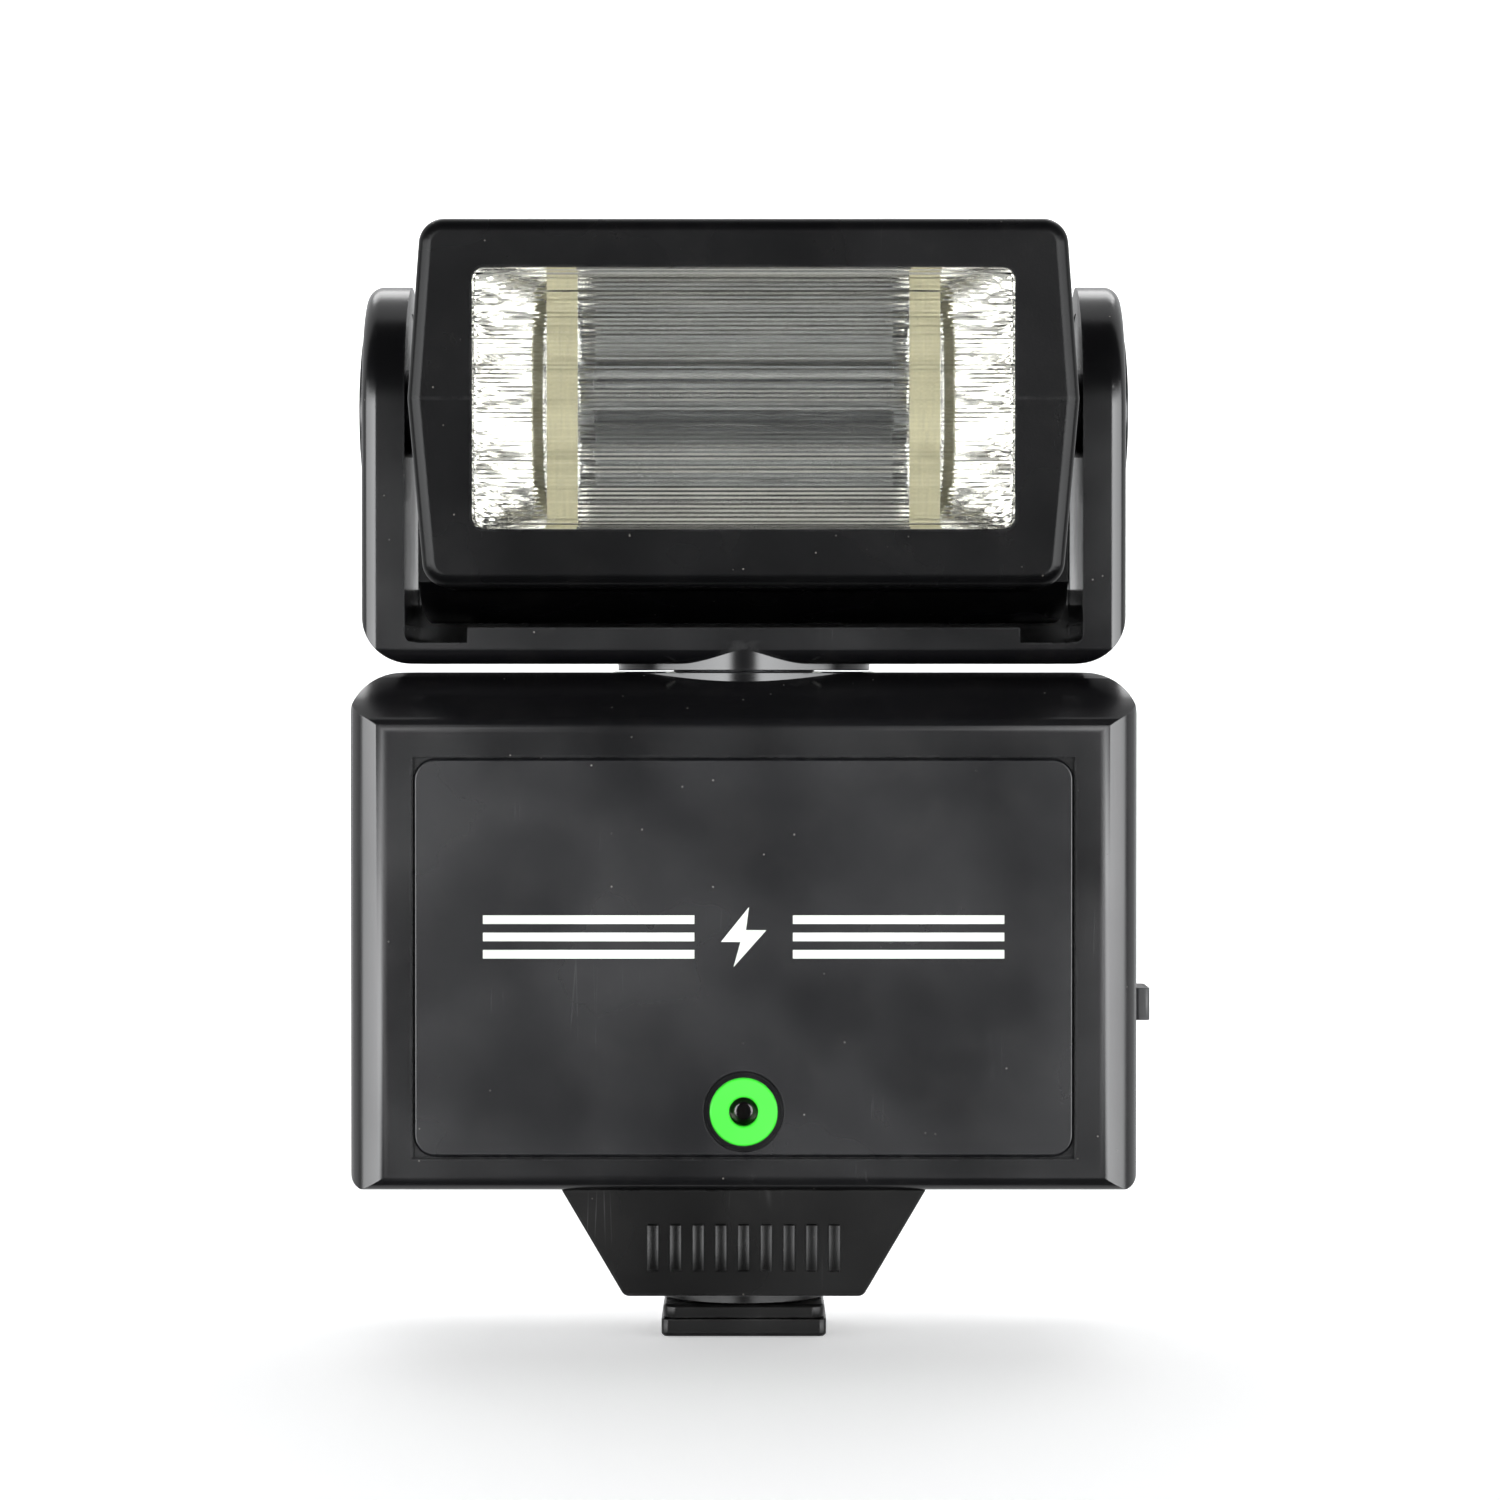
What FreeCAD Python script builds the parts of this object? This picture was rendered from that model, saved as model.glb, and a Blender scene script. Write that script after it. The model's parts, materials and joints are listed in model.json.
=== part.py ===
import FreeCAD, Part
import math
import os
import re
import Sketcher

# Speedlight flash: a case on a hot-shoe foot, a yoke that swivels on it and a head that tilts in the yoke.
# X runs across the flash, -Y is the way it shines, +Z is up. The origin is under the middle of the foot.

Vector = FreeCAD.Vector
doc = FreeCAD.newDocument("Speedlight")
sheet = doc.addObject("Spreadsheet::Sheet", "dims")

sizes = {
    # case
    "case_width": 86.8, "case_depth": 48, "case_bottom": 18, "case_top": 74.9, "wall": 2,
    "corner_round": 4.4, "shoulder_round": 5, "skirt_round": 1.8,
    "brow_height": 69.4, "brow_back": 8, "brow_round": 26, "brow_edge": 2.1,
    "nape_height": 71.2, "nape_back": 6, "nape_round": 7, "cover_depth": 5.5,
    # front panel and sensor
    "panel_width": 72.5, "panel_height": 43.8, "panel_middle": 43.6, "panel_corner": 2.4,
    "panel_thick": 0.7, "panel_sunk": 0.3, "fit_gap": 0.15,
    "sensor_height": 26.7, "bezel_radius": 4.35, "ring_radius": 3.75, "eye_radius": 1.6,
    # battery bay
    "cell_radius": 7.25, "cell_length": 50.5, "cell_gap": 0.3, "bay_height": 38, "bay_middle": -1,
    "door_space": 1.5, "tip_long": 1, "tip_radius": 2.7, "contact_thick": 0.4, "tray_wall": 1.1,
    "tray_gap": 0.25, "spring_space": 4.6, "door_reach": 32.2, "door_tall": 33, "door_gap": 0.3,
    "knuckle_radius": 1.3, "pin_radius": 0.6, "pin_depth": 15, "pin_end": 2.3, "latch_travel": 2.5,
    "latch_proud": 1.8, "latch_long": 8,
    # case insides
    "cap_radius": 10.5, "cap_tall": 42, "board_thick": 1.6, "board_depth": 15.3, "run_gap": 0.06,
    "board_gap": 0.4, "board_notch": 1.4, "chip_tall": 1.6,
    "core_left": 14, "core_long": 18, "core_deep": 16, "core_tall": 12.5, "core_limb": 3,
    "socket_back": 8, "socket_height": 30, "socket_radius": 3.2, "jack_bore": 1.27,
    # rear controls
    "rear_width": 70, "rear_tall": 44, "rear_middle": 44, "rear_thick": 0.8,
    "scale_width": 60, "scale_tall": 13, "scale_middle": 55.5,
    "slider_line": 43, "switch_line": 35.8, "lamp_line": 27.8, "calc_travel": 30,
    "power_place": 20, "power_travel": 4, "mode_place": -24, "mode_travel": 12,
    "button_place": -24, "button_radius": 4.2, "button_travel": 0.8,
    "ready_place": -12, "ready_radius": 2.5, "check_place": 24, "check_radius": 1.6, "stem_half": 1.2,
    "knob_width": 7, "knob_tall": 4.4, "knob_proud": 2, "knob_groove": 0.4, "stem_rise": 1,
    # shoe
    "bracket_top": 40.2, "bracket_foot": 26.3, "bracket_front": 22, "bracket_back": 14,
    "bracket_low": 6.2, "bracket_skirt": 9, "foot_width": 18.6, "foot_long": 18, "foot_thick": 2,
    "neck_radius": 6, "plate_thick": 1.55, "wheel_radius": 11.8, "hub_radius": 9.2,
    "hub_tall": 1.6, "wheel_tall": 3.8, "lift": 1.5, "contact_proud": 0.25,
    # swivel
    "base_ring_radius": 15, "base_ring_floor": 73.2, "collar_radius": 14.35, "collar_top": 78.3,
    "shaft_radius": 8, "shaft_bore": 5, "shaft_low": 67.6, "seat_radius": 17, "seat_low": 70.6,
    # yoke
    "yoke_width": 85.4, "arm_thick": 4.9, "arm_round": 14.4, "yoke_bottom": 75.85, "yoke_corner": 5.6,
    "block_width": 61.6, "block_top": 79.9, "strap_top": 78.2, "yoke_lip": 1.9, "pivot_height": 104.4,
    "pivot_radius": 5, "pin_bore": 3, "hub_gap": 0.8, "cap_disc": 9, "cap_proud": 0.5, "arm_edge": 1.8,
    "arm_cover": 0.9, "base_cover": 0.75, "cover_inset": 3.1, "cradle_wall": 3, "cradle_rise": 5,
    # head
    "head_front": 34, "head_up": 19.4, "head_down": 20.3, "head_half": 36.2, "head_half_top": 34.8,
    "head_half_low": 34.4, "head_round": 2.8, "head_edge": 1.5, "head_wall": 1.8,
    "drum_radius": 23.9, "drum_front": 14, "window_width": 58.4, "window_tall": 28.1,
    "window_sunk": 0.3, "window_corner": 1.4, "flange_wide": 1.2, "flange_thick": 0.9,
    "trough_width": 37, "trough_tall": 7, "mouth_gap": 0.7, "trough_back": 18, "sheet_thick": 0.4,
    "tube_radius": 2, "tube_depth": 21.5, "tube_length": 50, "boss_radius": 10,
    "head_post": 2.6, "head_screw_x": 26, "head_screw_y": 6, "head_screw_rise": 3,
    # screws and posts
    "post_radius": 2.4, "post_inset": 2.2, "post_drop": 8, "screw_head": 2, "screw_tall": 1,
    "screw_shank": 1.1, "screw_way": 1.25, "screw_sunk": 0.4, "head_screw_tall": 1.5,
    "bracket_screw_x": 14, "bracket_screw_front": -17, "bracket_screw_back": 8,
    "collar_screw_ring": 10.4, "collar_screw": 1.05,
}
for row, (name, value) in enumerate(sizes.items(), 1):
    sheet.set(f"A{row}", name)
    sheet.set(f"B{row}", str(value))
    sheet.setAlias(f"B{row}", name)
doc.recompute()

nodes = {}


def bind(text):
    return re.sub(r"[a-z][a-z_]*", lambda m: "dims." + m.group() if m.group() in sizes else m.group(),
                  str(text))


def size(text):
    return float(sheet.evalExpression(bind(text)))


def plus(*terms):
    return "+".join(f"({term})" for term in terms)


def minus(term):
    return f"-({term})"


# ---- sketches ----

turns = {
    "XY": FreeCAD.Rotation(),
    "XZ": FreeCAD.Rotation(Vector(1, 0, 0), 90),
    "YZ": FreeCAD.Rotation(Vector(1, 1, 1), 120),
}


def rect(left, right, low, high, radius=0):
    return [(left, low, radius), (right, low, radius), (right, high, radius), (left, high, radius)]


def drawCircle(sketch, across, up, radius):
    spot = Vector(size(across), size(up), 0)
    item = sketch.addGeometry(Part.Circle(spot, Vector(0, 0, 1), size(radius)), False)
    for kind, text, value in (("DistanceX", across, spot.x), ("DistanceY", up, spot.y)):
        number = sketch.addConstraint(Sketcher.Constraint(kind, -1, 1, item, 3, value))
        sketch.setExpression(f"Constraints[{number}]", bind(text))
    number = sketch.addConstraint(Sketcher.Constraint("Radius", item, size(radius)))
    sketch.setExpression(f"Constraints[{number}]", bind(radius))


def drawLoop(sketch, corners):
    """Closed outline of straight sides; a corner's third value rounds it."""
    spots = [Vector(size(corner[0]), size(corner[1]), 0) for corner in corners]
    count = len(spots)
    enter, leave, bends = [], [], []
    for number, spot in enumerate(spots):
        radius = size(corners[number][2]) if len(corners[number]) > 2 else 0
        back = (spots[number - 1] - spot).normalize()
        ahead = (spots[(number + 1) % count] - spot).normalize()
        if radius <= 0:
            enter.append(spot)
            leave.append(spot)
            bends.append(None)
            continue
        half = back.getAngle(ahead) / 2
        enter.append(spot + back * (radius / math.tan(half)))
        leave.append(spot + ahead * (radius / math.tan(half)))
        bends.append((spot + (back + ahead).normalize() * (radius / math.sin(half)), radius,
                      back.cross(ahead).z < 0))
    sides = [sketch.addGeometry(Part.LineSegment(leave[i], enter[(i + 1) % count]), False)
             for i in range(count)]
    for number, spot in enumerate(spots):
        before, after = sides[number - 1], sides[number]
        if bends[number] is None:
            sketch.addConstraint(Sketcher.Constraint("Coincident", before, 2, after, 1))
            fixed = (after, 1)
        else:
            centre, radius, outward = bends[number]
            first, last = (enter[number], leave[number]) if outward else (leave[number], enter[number])
            start = math.atan2(first.y - centre.y, first.x - centre.x)
            stop = math.atan2(last.y - centre.y, last.x - centre.x)
            circle = Part.Circle(centre, Vector(0, 0, 1), radius)
            arc = sketch.addGeometry(Part.ArcOfCircle(circle, start, stop), False)
            mark = sketch.addGeometry(Part.Point(spot), True)
            near, far = (1, 2) if outward else (2, 1)
            sketch.addConstraint(Sketcher.Constraint("Tangent", before, 2, arc, near))
            sketch.addConstraint(Sketcher.Constraint("Tangent", arc, far, after, 1))
            sketch.addConstraint(Sketcher.Constraint("PointOnObject", mark, 1, before))
            sketch.addConstraint(Sketcher.Constraint("PointOnObject", mark, 1, after))
            rule = sketch.addConstraint(Sketcher.Constraint("Radius", arc, radius))
            sketch.setExpression(f"Constraints[{rule}]", bind(corners[number][2]))
            fixed = (mark, 1)
        for kind, text, value in (("DistanceX", corners[number][0], spot.x),
                                  ("DistanceY", corners[number][1], spot.y)):
            tie = sketch.addConstraint(Sketcher.Constraint(kind, -1, 1, fixed[0], fixed[1], value))
            sketch.setExpression(f"Constraints[{tie}]", bind(text))


def draw(sketch, loops):
    for loop in loops:
        if isinstance(loop, list):
            drawLoop(sketch, loop)
        else:
            drawCircle(sketch, *loop)


# ---- solids ----

def keep(label, item):
    item.Label = label
    nodes[label] = item
    return item


def extrude(name, plane, low, high, *loops):
    """A prism of one outline between two levels of the plane's normal."""
    sketch = doc.addObject("Sketcher::SketchObject", name + "Sketch")
    level, way = {"XY": (low, "z"), "XZ": (high, "y"), "YZ": (low, "x")}[plane]
    sketch.Placement = FreeCAD.Placement(Vector(), turns[plane])
    sketch.setExpression("Placement.Base." + way, bind(level))
    draw(sketch, loops)
    solid = doc.addObject("Part::Extrusion", name)
    solid.Base = sketch
    solid.DirMode = "Normal"
    solid.Solid = True
    solid.setExpression("LengthFwd", bind(plus(high, minus(low))))
    return solid


def block(name, left, right, front, back, low, high):
    solid = doc.addObject("Part::Box", name)
    for prop, text in (("Length", plus(right, minus(left))), ("Width", plus(back, minus(front))),
                       ("Height", plus(high, minus(low))), ("Placement.Base.x", left),
                       ("Placement.Base.y", front), ("Placement.Base.z", low)):
        solid.setExpression(prop, bind(text))
    return solid


def rod(name, along, radius, low, high, first=0, second=0):
    """A cylinder along X, Y or Z; first and second place its axis on the other two axes."""
    solid = doc.addObject("Part::Cylinder", name)
    turn = {"x": FreeCAD.Rotation(Vector(0, 1, 0), 90), "y": FreeCAD.Rotation(Vector(1, 0, 0), -90),
            "z": FreeCAD.Rotation()}[along]
    solid.Placement = FreeCAD.Placement(Vector(), turn)
    places = {"x": ("x", "y", "z"), "y": ("y", "x", "z"), "z": ("z", "x", "y")}[along]
    for way, text in zip(places, (low, first, second)):
        solid.setExpression("Placement.Base." + way, bind(text))
    solid.setExpression("Radius", bind(radius))
    solid.setExpression("Height", bind(plus(high, minus(low))))
    return solid


def fuse(name, *parts):
    solid = doc.addObject("Part::MultiFuse", name)
    solid.Shapes = list(parts)
    return solid


def common(name, *parts):
    solid = doc.addObject("Part::MultiCommon", name)
    solid.Shapes = list(parts)
    return solid


def cut(name, base, *tools):
    solid = doc.addObject("Part::Cut", name)
    solid.Base = base
    solid.Tool = tools[0] if len(tools) == 1 else fuse(name + "Tools", *tools)
    return solid


def group(name, *parts):
    solid = doc.addObject("Part::Compound", name)
    solid.Links = list(parts)
    return solid


def tube(name, along, outer, inner, low, high, first=0, second=0):
    return cut(name, rod(name + "Out", along, outer, low, high, first, second),
               rod(name + "In", along, inner, plus(low, -0.5), plus(high, 0.5), first, second))


def plain(label):
    return label.title().replace("_", "")


def newBody(label):
    return keep(label, doc.addObject("PartDesign::Body", plain(label)))


def bodySketch(body, plane, level, loops):
    sketch = body.newObject("Sketcher::SketchObject", body.Name + "Sketch")
    origin = [item for item in body.Origin.OriginFeatures if item.Role == plane + "_Plane"][0]
    sketch.AttachmentSupport = [(origin, "")]
    sketch.MapMode = "FlatFace"
    sketch.setExpression("AttachmentOffset.Base.z", bind(level))
    draw(sketch, loops)
    return sketch


def pad(body, plane, low, high, *loops):
    level = minus(high) if plane == "XZ" else low
    feature = body.newObject("PartDesign::Pad", body.Name + "Pad")
    feature.Profile = bodySketch(body, plane, level, loops)
    feature.setExpression("Length", bind(plus(high, minus(low))))
    doc.recompute()
    return feature


def pocket(body, plane, low, high, *loops):
    level = minus(low) if plane == "XZ" else high
    before = body.Shape.Volume
    feature = body.newObject("PartDesign::Pocket", body.Name + "Pocket")
    feature.Profile = bodySketch(body, plane, level, loops)
    feature.setExpression("Length", bind(plus(high, minus(low))))
    doc.recompute()
    if not body.Shape.Volume < before - 1e-6:
        raise RuntimeError("pocket cut nothing in " + body.Label)
    return feature


def soften(body, kind, amount, test):
    """Fillet or Chamfer on the edges of the body's tip that pass the test."""
    tip = body.Tip
    chosen = [f"Edge{number}" for number, edge in enumerate(tip.Shape.Edges, 1) if test(edge)]
    feature = body.newObject("PartDesign::" + kind, body.Name + kind)
    feature.Base = (tip, chosen)
    feature.setExpression("Radius" if kind == "Fillet" else "Size", bind(amount))
    doc.recompute()
    return feature


def flatAt(way, value):
    """Picks edges that lie wholly at one level of an axis."""
    level = size(value)

    def test(edge):
        box = edge.BoundBox
        low, high = {"x": (box.XMin, box.XMax), "y": (box.YMin, box.YMax), "z": (box.ZMin, box.ZMax)}[way]
        return abs(low - level) < 1e-4 and abs(high - level) < 1e-4
    return test


# ---- case ----

def caseForm(name, inset):
    """Outer form of the case, or the same form drawn in by a wall, as the meeting of its three outlines."""
    brow = "atan((case_top-brow_height)/brow_back)"
    nape = "atan((case_top-nape_height)/nape_back)"
    rounds = [f"{text}-{inset}" if inset else text for text in ("shoulder_round", "corner_round")]
    half, deep = f"case_width/2-{inset}", f"case_depth/2-{inset}"
    low, high = f"case_bottom+{inset}", f"case_top-{inset}"
    skirt = 0 if inset else "skirt_round"
    browEdge, browLow, browTop = "brow_edge", "brow_height", "-case_depth/2+brow_back"
    napeEdge, napeLow, napeTop = "brow_edge", "nape_height", "case_depth/2-nape_back"
    if inset:
        browEdge = napeEdge = 0
        browLow += f"-{inset}*(1-sin({brow}))/cos({brow})"
        browTop += f"+{inset}*(1-cos({brow}))/sin({brow})"
        napeLow += f"-{inset}*(1-sin({nape}))/cos({nape})"
        napeTop += f"-{inset}*(1-cos({nape}))/sin({nape})"
    front = extrude(name + "Front", "XZ", "-case_depth", "case_depth",
                    [(minus(half), low, skirt), (half, low, skirt), (half, high, rounds[0]),
                     (minus(half), high, rounds[0])])
    side = extrude(name + "Side", "YZ", "-case_width", "case_width",
                   [(minus(deep), low, skirt), (deep, low, skirt), (deep, napeLow, napeEdge),
                    (napeTop, high, "nape_round"), (browTop, high, "brow_round"),
                    (minus(deep), browLow, browEdge)])
    plan = extrude(name + "Plan", "XY", 0, "case_top*2",
                   rect(minus(half), half, minus(deep), deep, rounds[1]))
    return common(name, front, side, plan)


split = "case_depth/2-cover_depth"
doorFront = "pin_depth-door_reach"
doorLow, doorHigh = "bay_height-door_tall/2", "bay_height+door_tall/2"
pinX = "case_width/2-knuckle_radius"
panelHalf, panelLow, panelHigh = "panel_width/2", "panel_middle-panel_height/2", "panel_middle+panel_height/2"
front = "-case_depth/2"
back = "case_depth/2"
inBack = "case_depth/2-wall"
socketPlace = ("socket_back", "socket_height")
postPlaces = [(f"{sx}(case_width/2-wall-post_inset)", z) for sx in ("-", "")
              for z in ("case_bottom+wall+post_inset", "case_top-wall-post_drop")]
bracketScrews = [(x, y) for x in ("-bracket_screw_x", "bracket_screw_x")
                 for y in ("bracket_screw_front", "bracket_screw_back")]

hollow = caseForm("CaseHollow", "wall")
seat = rod("SwivelSeat", "z", "seat_radius", "seat_low", "case_top-wall")
posts = [rod(f"CoverPost{i}", "y", "post_radius", "board_depth-0.1", split, x, z)
         for i, (x, z) in enumerate(postPlaces)]
shellSolid = fuse("CaseWalls", cut("CaseSkin", caseForm("CaseForm", 0), hollow), seat, *posts)


def slotCut(name, place, travel, line, spare=0.3):
    """Slot through the rear wall for a knob's stem, long enough for its travel."""
    return block(name, f"{place}-stem_half-{spare}", f"{place}+{travel}+stem_half+{spare}",
                 f"{inBack}-1", f"{back}+1", f"{line}-stem_rise-{spare}", f"{line}+stem_rise+{spare}")


openings = [
    block("PanelRecess", minus(plus(panelHalf, "fit_gap")), plus(panelHalf, "fit_gap"),
          "-case_depth", f"{front}+panel_thick+panel_sunk",
          plus(panelLow, "-fit_gap"), plus(panelHigh, "fit_gap")),
    rod("BezelHole", "y", "bezel_radius+0.05", "-case_depth", "-case_depth/4", 0, "sensor_height"),
    rod("BaseRingSeat", "z", "base_ring_radius+0.05", "base_ring_floor", "case_top+2"),
    rod("ShaftHole", "z", "shaft_radius+2", "seat_low-1", "base_ring_floor+1"),
    block("DoorHole", "case_width/2-wall-2", "case_width",
          f"{doorFront}-door_gap", "pin_depth+knuckle_radius+door_gap",
          f"{doorLow}-door_gap", f"{doorHigh}+door_gap"),
    rod("SocketHole", "x", "socket_radius+0.05", "-case_width/2-1", "-case_width/2+wall+1", *socketPlace),
    rod("DoorPinHole", "z", "pin_radius", f"{doorLow}-pin_end", f"{doorHigh}+pin_end", pinX, "pin_depth"),
]
openings += [rod(f"BracketScrewHole{i}", "z", "screw_way", "case_bottom-1", "case_bottom+wall+1", x, y)
             for i, (x, y) in enumerate(bracketScrews)]
openings += [rod(f"CoverScrewHole{i}", "y", "screw_shank+0.05", "board_depth-0.3", "case_depth", x, z)
             for i, (x, z) in enumerate(postPlaces)]
tub = cut("TubWalls", shellSolid, *openings)
frontRegion = block("TubRegion", "-case_width", "case_width", "-case_depth", split, 0, "case_top*2")
rearRegion = block("CoverRegion", "-case_width", "case_width", split, "case_depth", 0, "case_top*2")
keep("main_shell", common("MainShell", tub, frontRegion))

# ---- rear cover and controls ----

rearHalf, rearLow, rearHigh = "rear_width/2", "rear_middle-rear_tall/2", "rear_middle+rear_tall/2"
scaleHalf, scaleLow, scaleHigh = "scale_width/2", "scale_middle-scale_tall/2", "scale_middle+scale_tall/2"
lamps = (("ready_lamp", "ready_radius", "ready_place"), ("check_lamp", "check_radius", "check_place"))
controls = {
    "calculator_slider": ("-calc_travel/2", "calc_travel", "slider_line"),
    "power_switch": ("power_place", "power_travel", "switch_line"),
    "mode_switch": ("mode_place", "mode_travel", "switch_line"),
}


def rearHoles(tag, spare):
    """Openings that the rear cover and its control panel share."""
    holes = [slotCut(f"{tag}Slot{i}", *control, spare) for i, control in enumerate(controls.values())]
    holes.append(block(tag + "Scale", f"-({scaleHalf})-0.05", f"{scaleHalf}+0.05",
                       f"{inBack}-1", f"{back}+1", f"{scaleLow}-0.05", f"{scaleHigh}+0.05"))
    for label, radius, place in (("Button", "button_radius+0.15", "button_place"),
                                 ("Ready", "ready_radius+0.05", "ready_place"),
                                 ("Check", "check_radius+0.05", "check_place")):
        holes.append(rod(tag + label, "y", radius, f"{inBack}-1", f"{back}+1", place, "lamp_line"))
    return holes


coverBlock = common("CoverBlock", rearRegion,
                    cut("CoverSkin", caseForm("CoverForm", 0), caseForm("CoverHollow", "wall")))
coverPosts = [tube(f"CoverBoss{i}", "y", "post_radius", "screw_way", split, inBack, x, z)
              for i, (x, z) in enumerate(postPlaces)]
screwSinks = [rod(f"ScrewSink{i}", "y", "screw_head+0.1", f"{back}-screw_sunk-screw_tall", "case_depth", x, z)
              for i, (x, z) in enumerate(postPlaces)]
screwWays = [rod(f"ScrewWay{i}", "y", "screw_way", split + "-1", "case_depth", x, z)
             for i, (x, z) in enumerate(postPlaces)]
rearRecess = block("RearRecess", f"-({rearHalf})-fit_gap", f"{rearHalf}+fit_gap",
                   "case_depth/2-rear_thick", "case_depth", f"{rearLow}-fit_gap", f"{rearHigh}+fit_gap")
keep("rear_cover", cut("RearCover", fuse("CoverWalls", coverBlock, *coverPosts), rearRecess,
                       *screwSinks, *screwWays, *rearHoles("Cover", 0.4)))
panelPlate = extrude("RearPlate", "XZ", "case_depth/2-rear_thick", back,
                     rect(minus(rearHalf), rearHalf, rearLow, rearHigh, 1.2))
keep("rear_panel", cut("RearPanel", panelPlate, *rearHoles("Panel", 0.3)))
keep("scale_window", block("ScaleWindow", minus(scaleHalf), scaleHalf, inBack, f"{back}-0.1",
                           scaleLow, scaleHigh))
keep("scale_card", block("ScaleCard", f"-({scaleHalf})-1", f"{scaleHalf}+1", f"{inBack}-0.5", inBack,
                         f"{scaleLow}-1", f"{scaleHigh}+1"))

for label, (place, travel, line) in controls.items():
    knob = newBody(label)
    knobFront, knobBack = f"{back}+knob_proud", f"{back}+0.25"
    pad(knob, "XZ", knobBack, knobFront, rect(f"{place}-knob_width/2", f"{place}+knob_width/2",
                                              f"{line}-knob_tall/2", f"{line}+knob_tall/2", 0.8))
    soften(knob, "Chamfer", 0.4, flatAt("y", knobFront))
    pad(knob, "XZ", f"{inBack}-1.4", f"{back}+0.3", rect(f"{place}-stem_half", f"{place}+stem_half",
                                                         f"{line}-stem_rise", f"{line}+stem_rise"))
    pad(knob, "XZ", f"{inBack}-1.6", f"{inBack}-0.65",
        rect(f"{place}-stem_half-1.4", f"{place}+stem_half+1.4",
             f"{line}-stem_rise-0.8", f"{line}+stem_rise+0.8"))
    for step in (-2, -1, 0, 1, 2):
        middle = f"{place}+{step}*1.1"
        pocket(knob, "XZ", f"{knobFront}-knob_groove", f"{knobFront}+1",
               rect(f"{middle}-0.25", f"{middle}+0.25", f"{line}-knob_tall", f"{line}+knob_tall"))

button = newBody("test_button")
pad(button, "XZ", f"{inBack}-0.4", "case_depth/2+1.2", ("button_place", "lamp_line", "button_radius"))
soften(button, "Fillet", 0.5, flatAt("y", "case_depth/2+1.2"))
pad(button, "XZ", f"{inBack}-1.2", f"{inBack}-0.2", ("button_place", "lamp_line", "button_radius+1"))
pad(button, "XZ", f"{inBack}-2.4", f"{inBack}-1", ("button_place", "lamp_line", 1))


def coil(label, along, radius, wire, rise, turnsCount, places, low, taper=0):
    """Compression springs: a wire drawn along a helix, one for each place."""
    path = Part.Wire(Part.makeHelix(rise / turnsCount, rise, radius, taper))
    section = Part.Wire(Part.makeCircle(wire, Vector(radius, 0, 0), Vector(0, 1, 0)))
    one = path.makePipeShell([section], True, True)
    turn = FreeCAD.Rotation(Vector(0, 0, 1), Vector(1, 0, 0) if along == "x" else Vector(0, 1, 0))
    copies = []
    for first, second in places:
        spot = Vector(low, first, second) if along == "x" else Vector(first, low, second)
        copies.append(one.transformed(FreeCAD.Placement(spot, turn).toMatrix(), True))
    item = doc.addObject("Part::Feature", plain(label))
    item.Shape = Part.makeCompound(copies) if len(copies) > 1 else copies[0]
    item.Placement = FreeCAD.Placement()
    return keep(label, item)


boardBack = "board_depth+board_thick"
springLow = size(boardBack) + 0.3
coil("button_spring", "y", 2.2, 0.2, size(f"{inBack}-1.2-button_travel") - 0.3 - springLow, 3,
     [(size("button_place"), size("lamp_line"))], springLow)

for label, radius, place in lamps:
    lamp = newBody(label)
    pad(lamp, "XZ", f"{inBack}-1.6", "case_depth/2+0.6", (place, "lamp_line", radius))
    soften(lamp, "Fillet", 0.55, flatAt("y", "case_depth/2+0.6"))
    pad(lamp, "XZ", f"{inBack}-2.2", f"{inBack}-0.1", (place, "lamp_line", f"{radius}+0.6"))

keep("case_screws", group("CaseScrews", *[
    fuse(f"CaseScrew{i}", rod(f"CaseScrewHead{i}", "y", "screw_head", f"{back}-screw_sunk-screw_tall",
                              f"{back}-screw_sunk", x, z),
         rod(f"CaseScrewShank{i}", "y", "screw_shank", "board_depth+0.2",
             f"{back}-screw_sunk-screw_tall+0.1", x, z))
    for i, (x, z) in enumerate(postPlaces)]))

# ---- front panel and sensor ----

plate = newBody("front_panel")
pad(plate, "XZ", f"{front}+panel_sunk", f"{front}+panel_sunk+panel_thick",
    rect(minus(panelHalf), panelHalf, panelLow, panelHigh, "panel_corner"))
soften(plate, "Chamfer", 0.25, flatAt("y", f"{front}+panel_sunk"))
pocket(plate, "XZ", f"{front}-1", f"{front}+panel_sunk+panel_thick+1",
       (0, "sensor_height", "bezel_radius+0.05"))

keep("sensor_bezel", tube("SensorBezel", "y", "bezel_radius", "ring_radius+0.02", f"{front}+0.05",
                          f"{front}+4", 0, "sensor_height"))
sensorRing = newBody("sensor_ring")
pad(sensorRing, "XZ", f"{front}-0.1", f"{front}+1.6", (0, "sensor_height", "ring_radius"),
    (0, "sensor_height", "eye_radius"))
soften(sensorRing, "Chamfer", 0.2, flatAt("y", f"{front}-0.1"))
sensorLens = newBody("sensor_lens")
pad(sensorLens, "XZ", f"{front}+0.9", f"{front}+2.4", (0, "sensor_height", "eye_radius-0.04"))
soften(sensorLens, "Fillet", 0.8, flatAt("y", f"{front}+0.9"))
keep("photo_sensor", rod("PhotoSensor", "y", 2.7, f"{front}+2.5", f"{front}+5.6", 0, "sensor_height"))

# ---- battery bay ----

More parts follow.
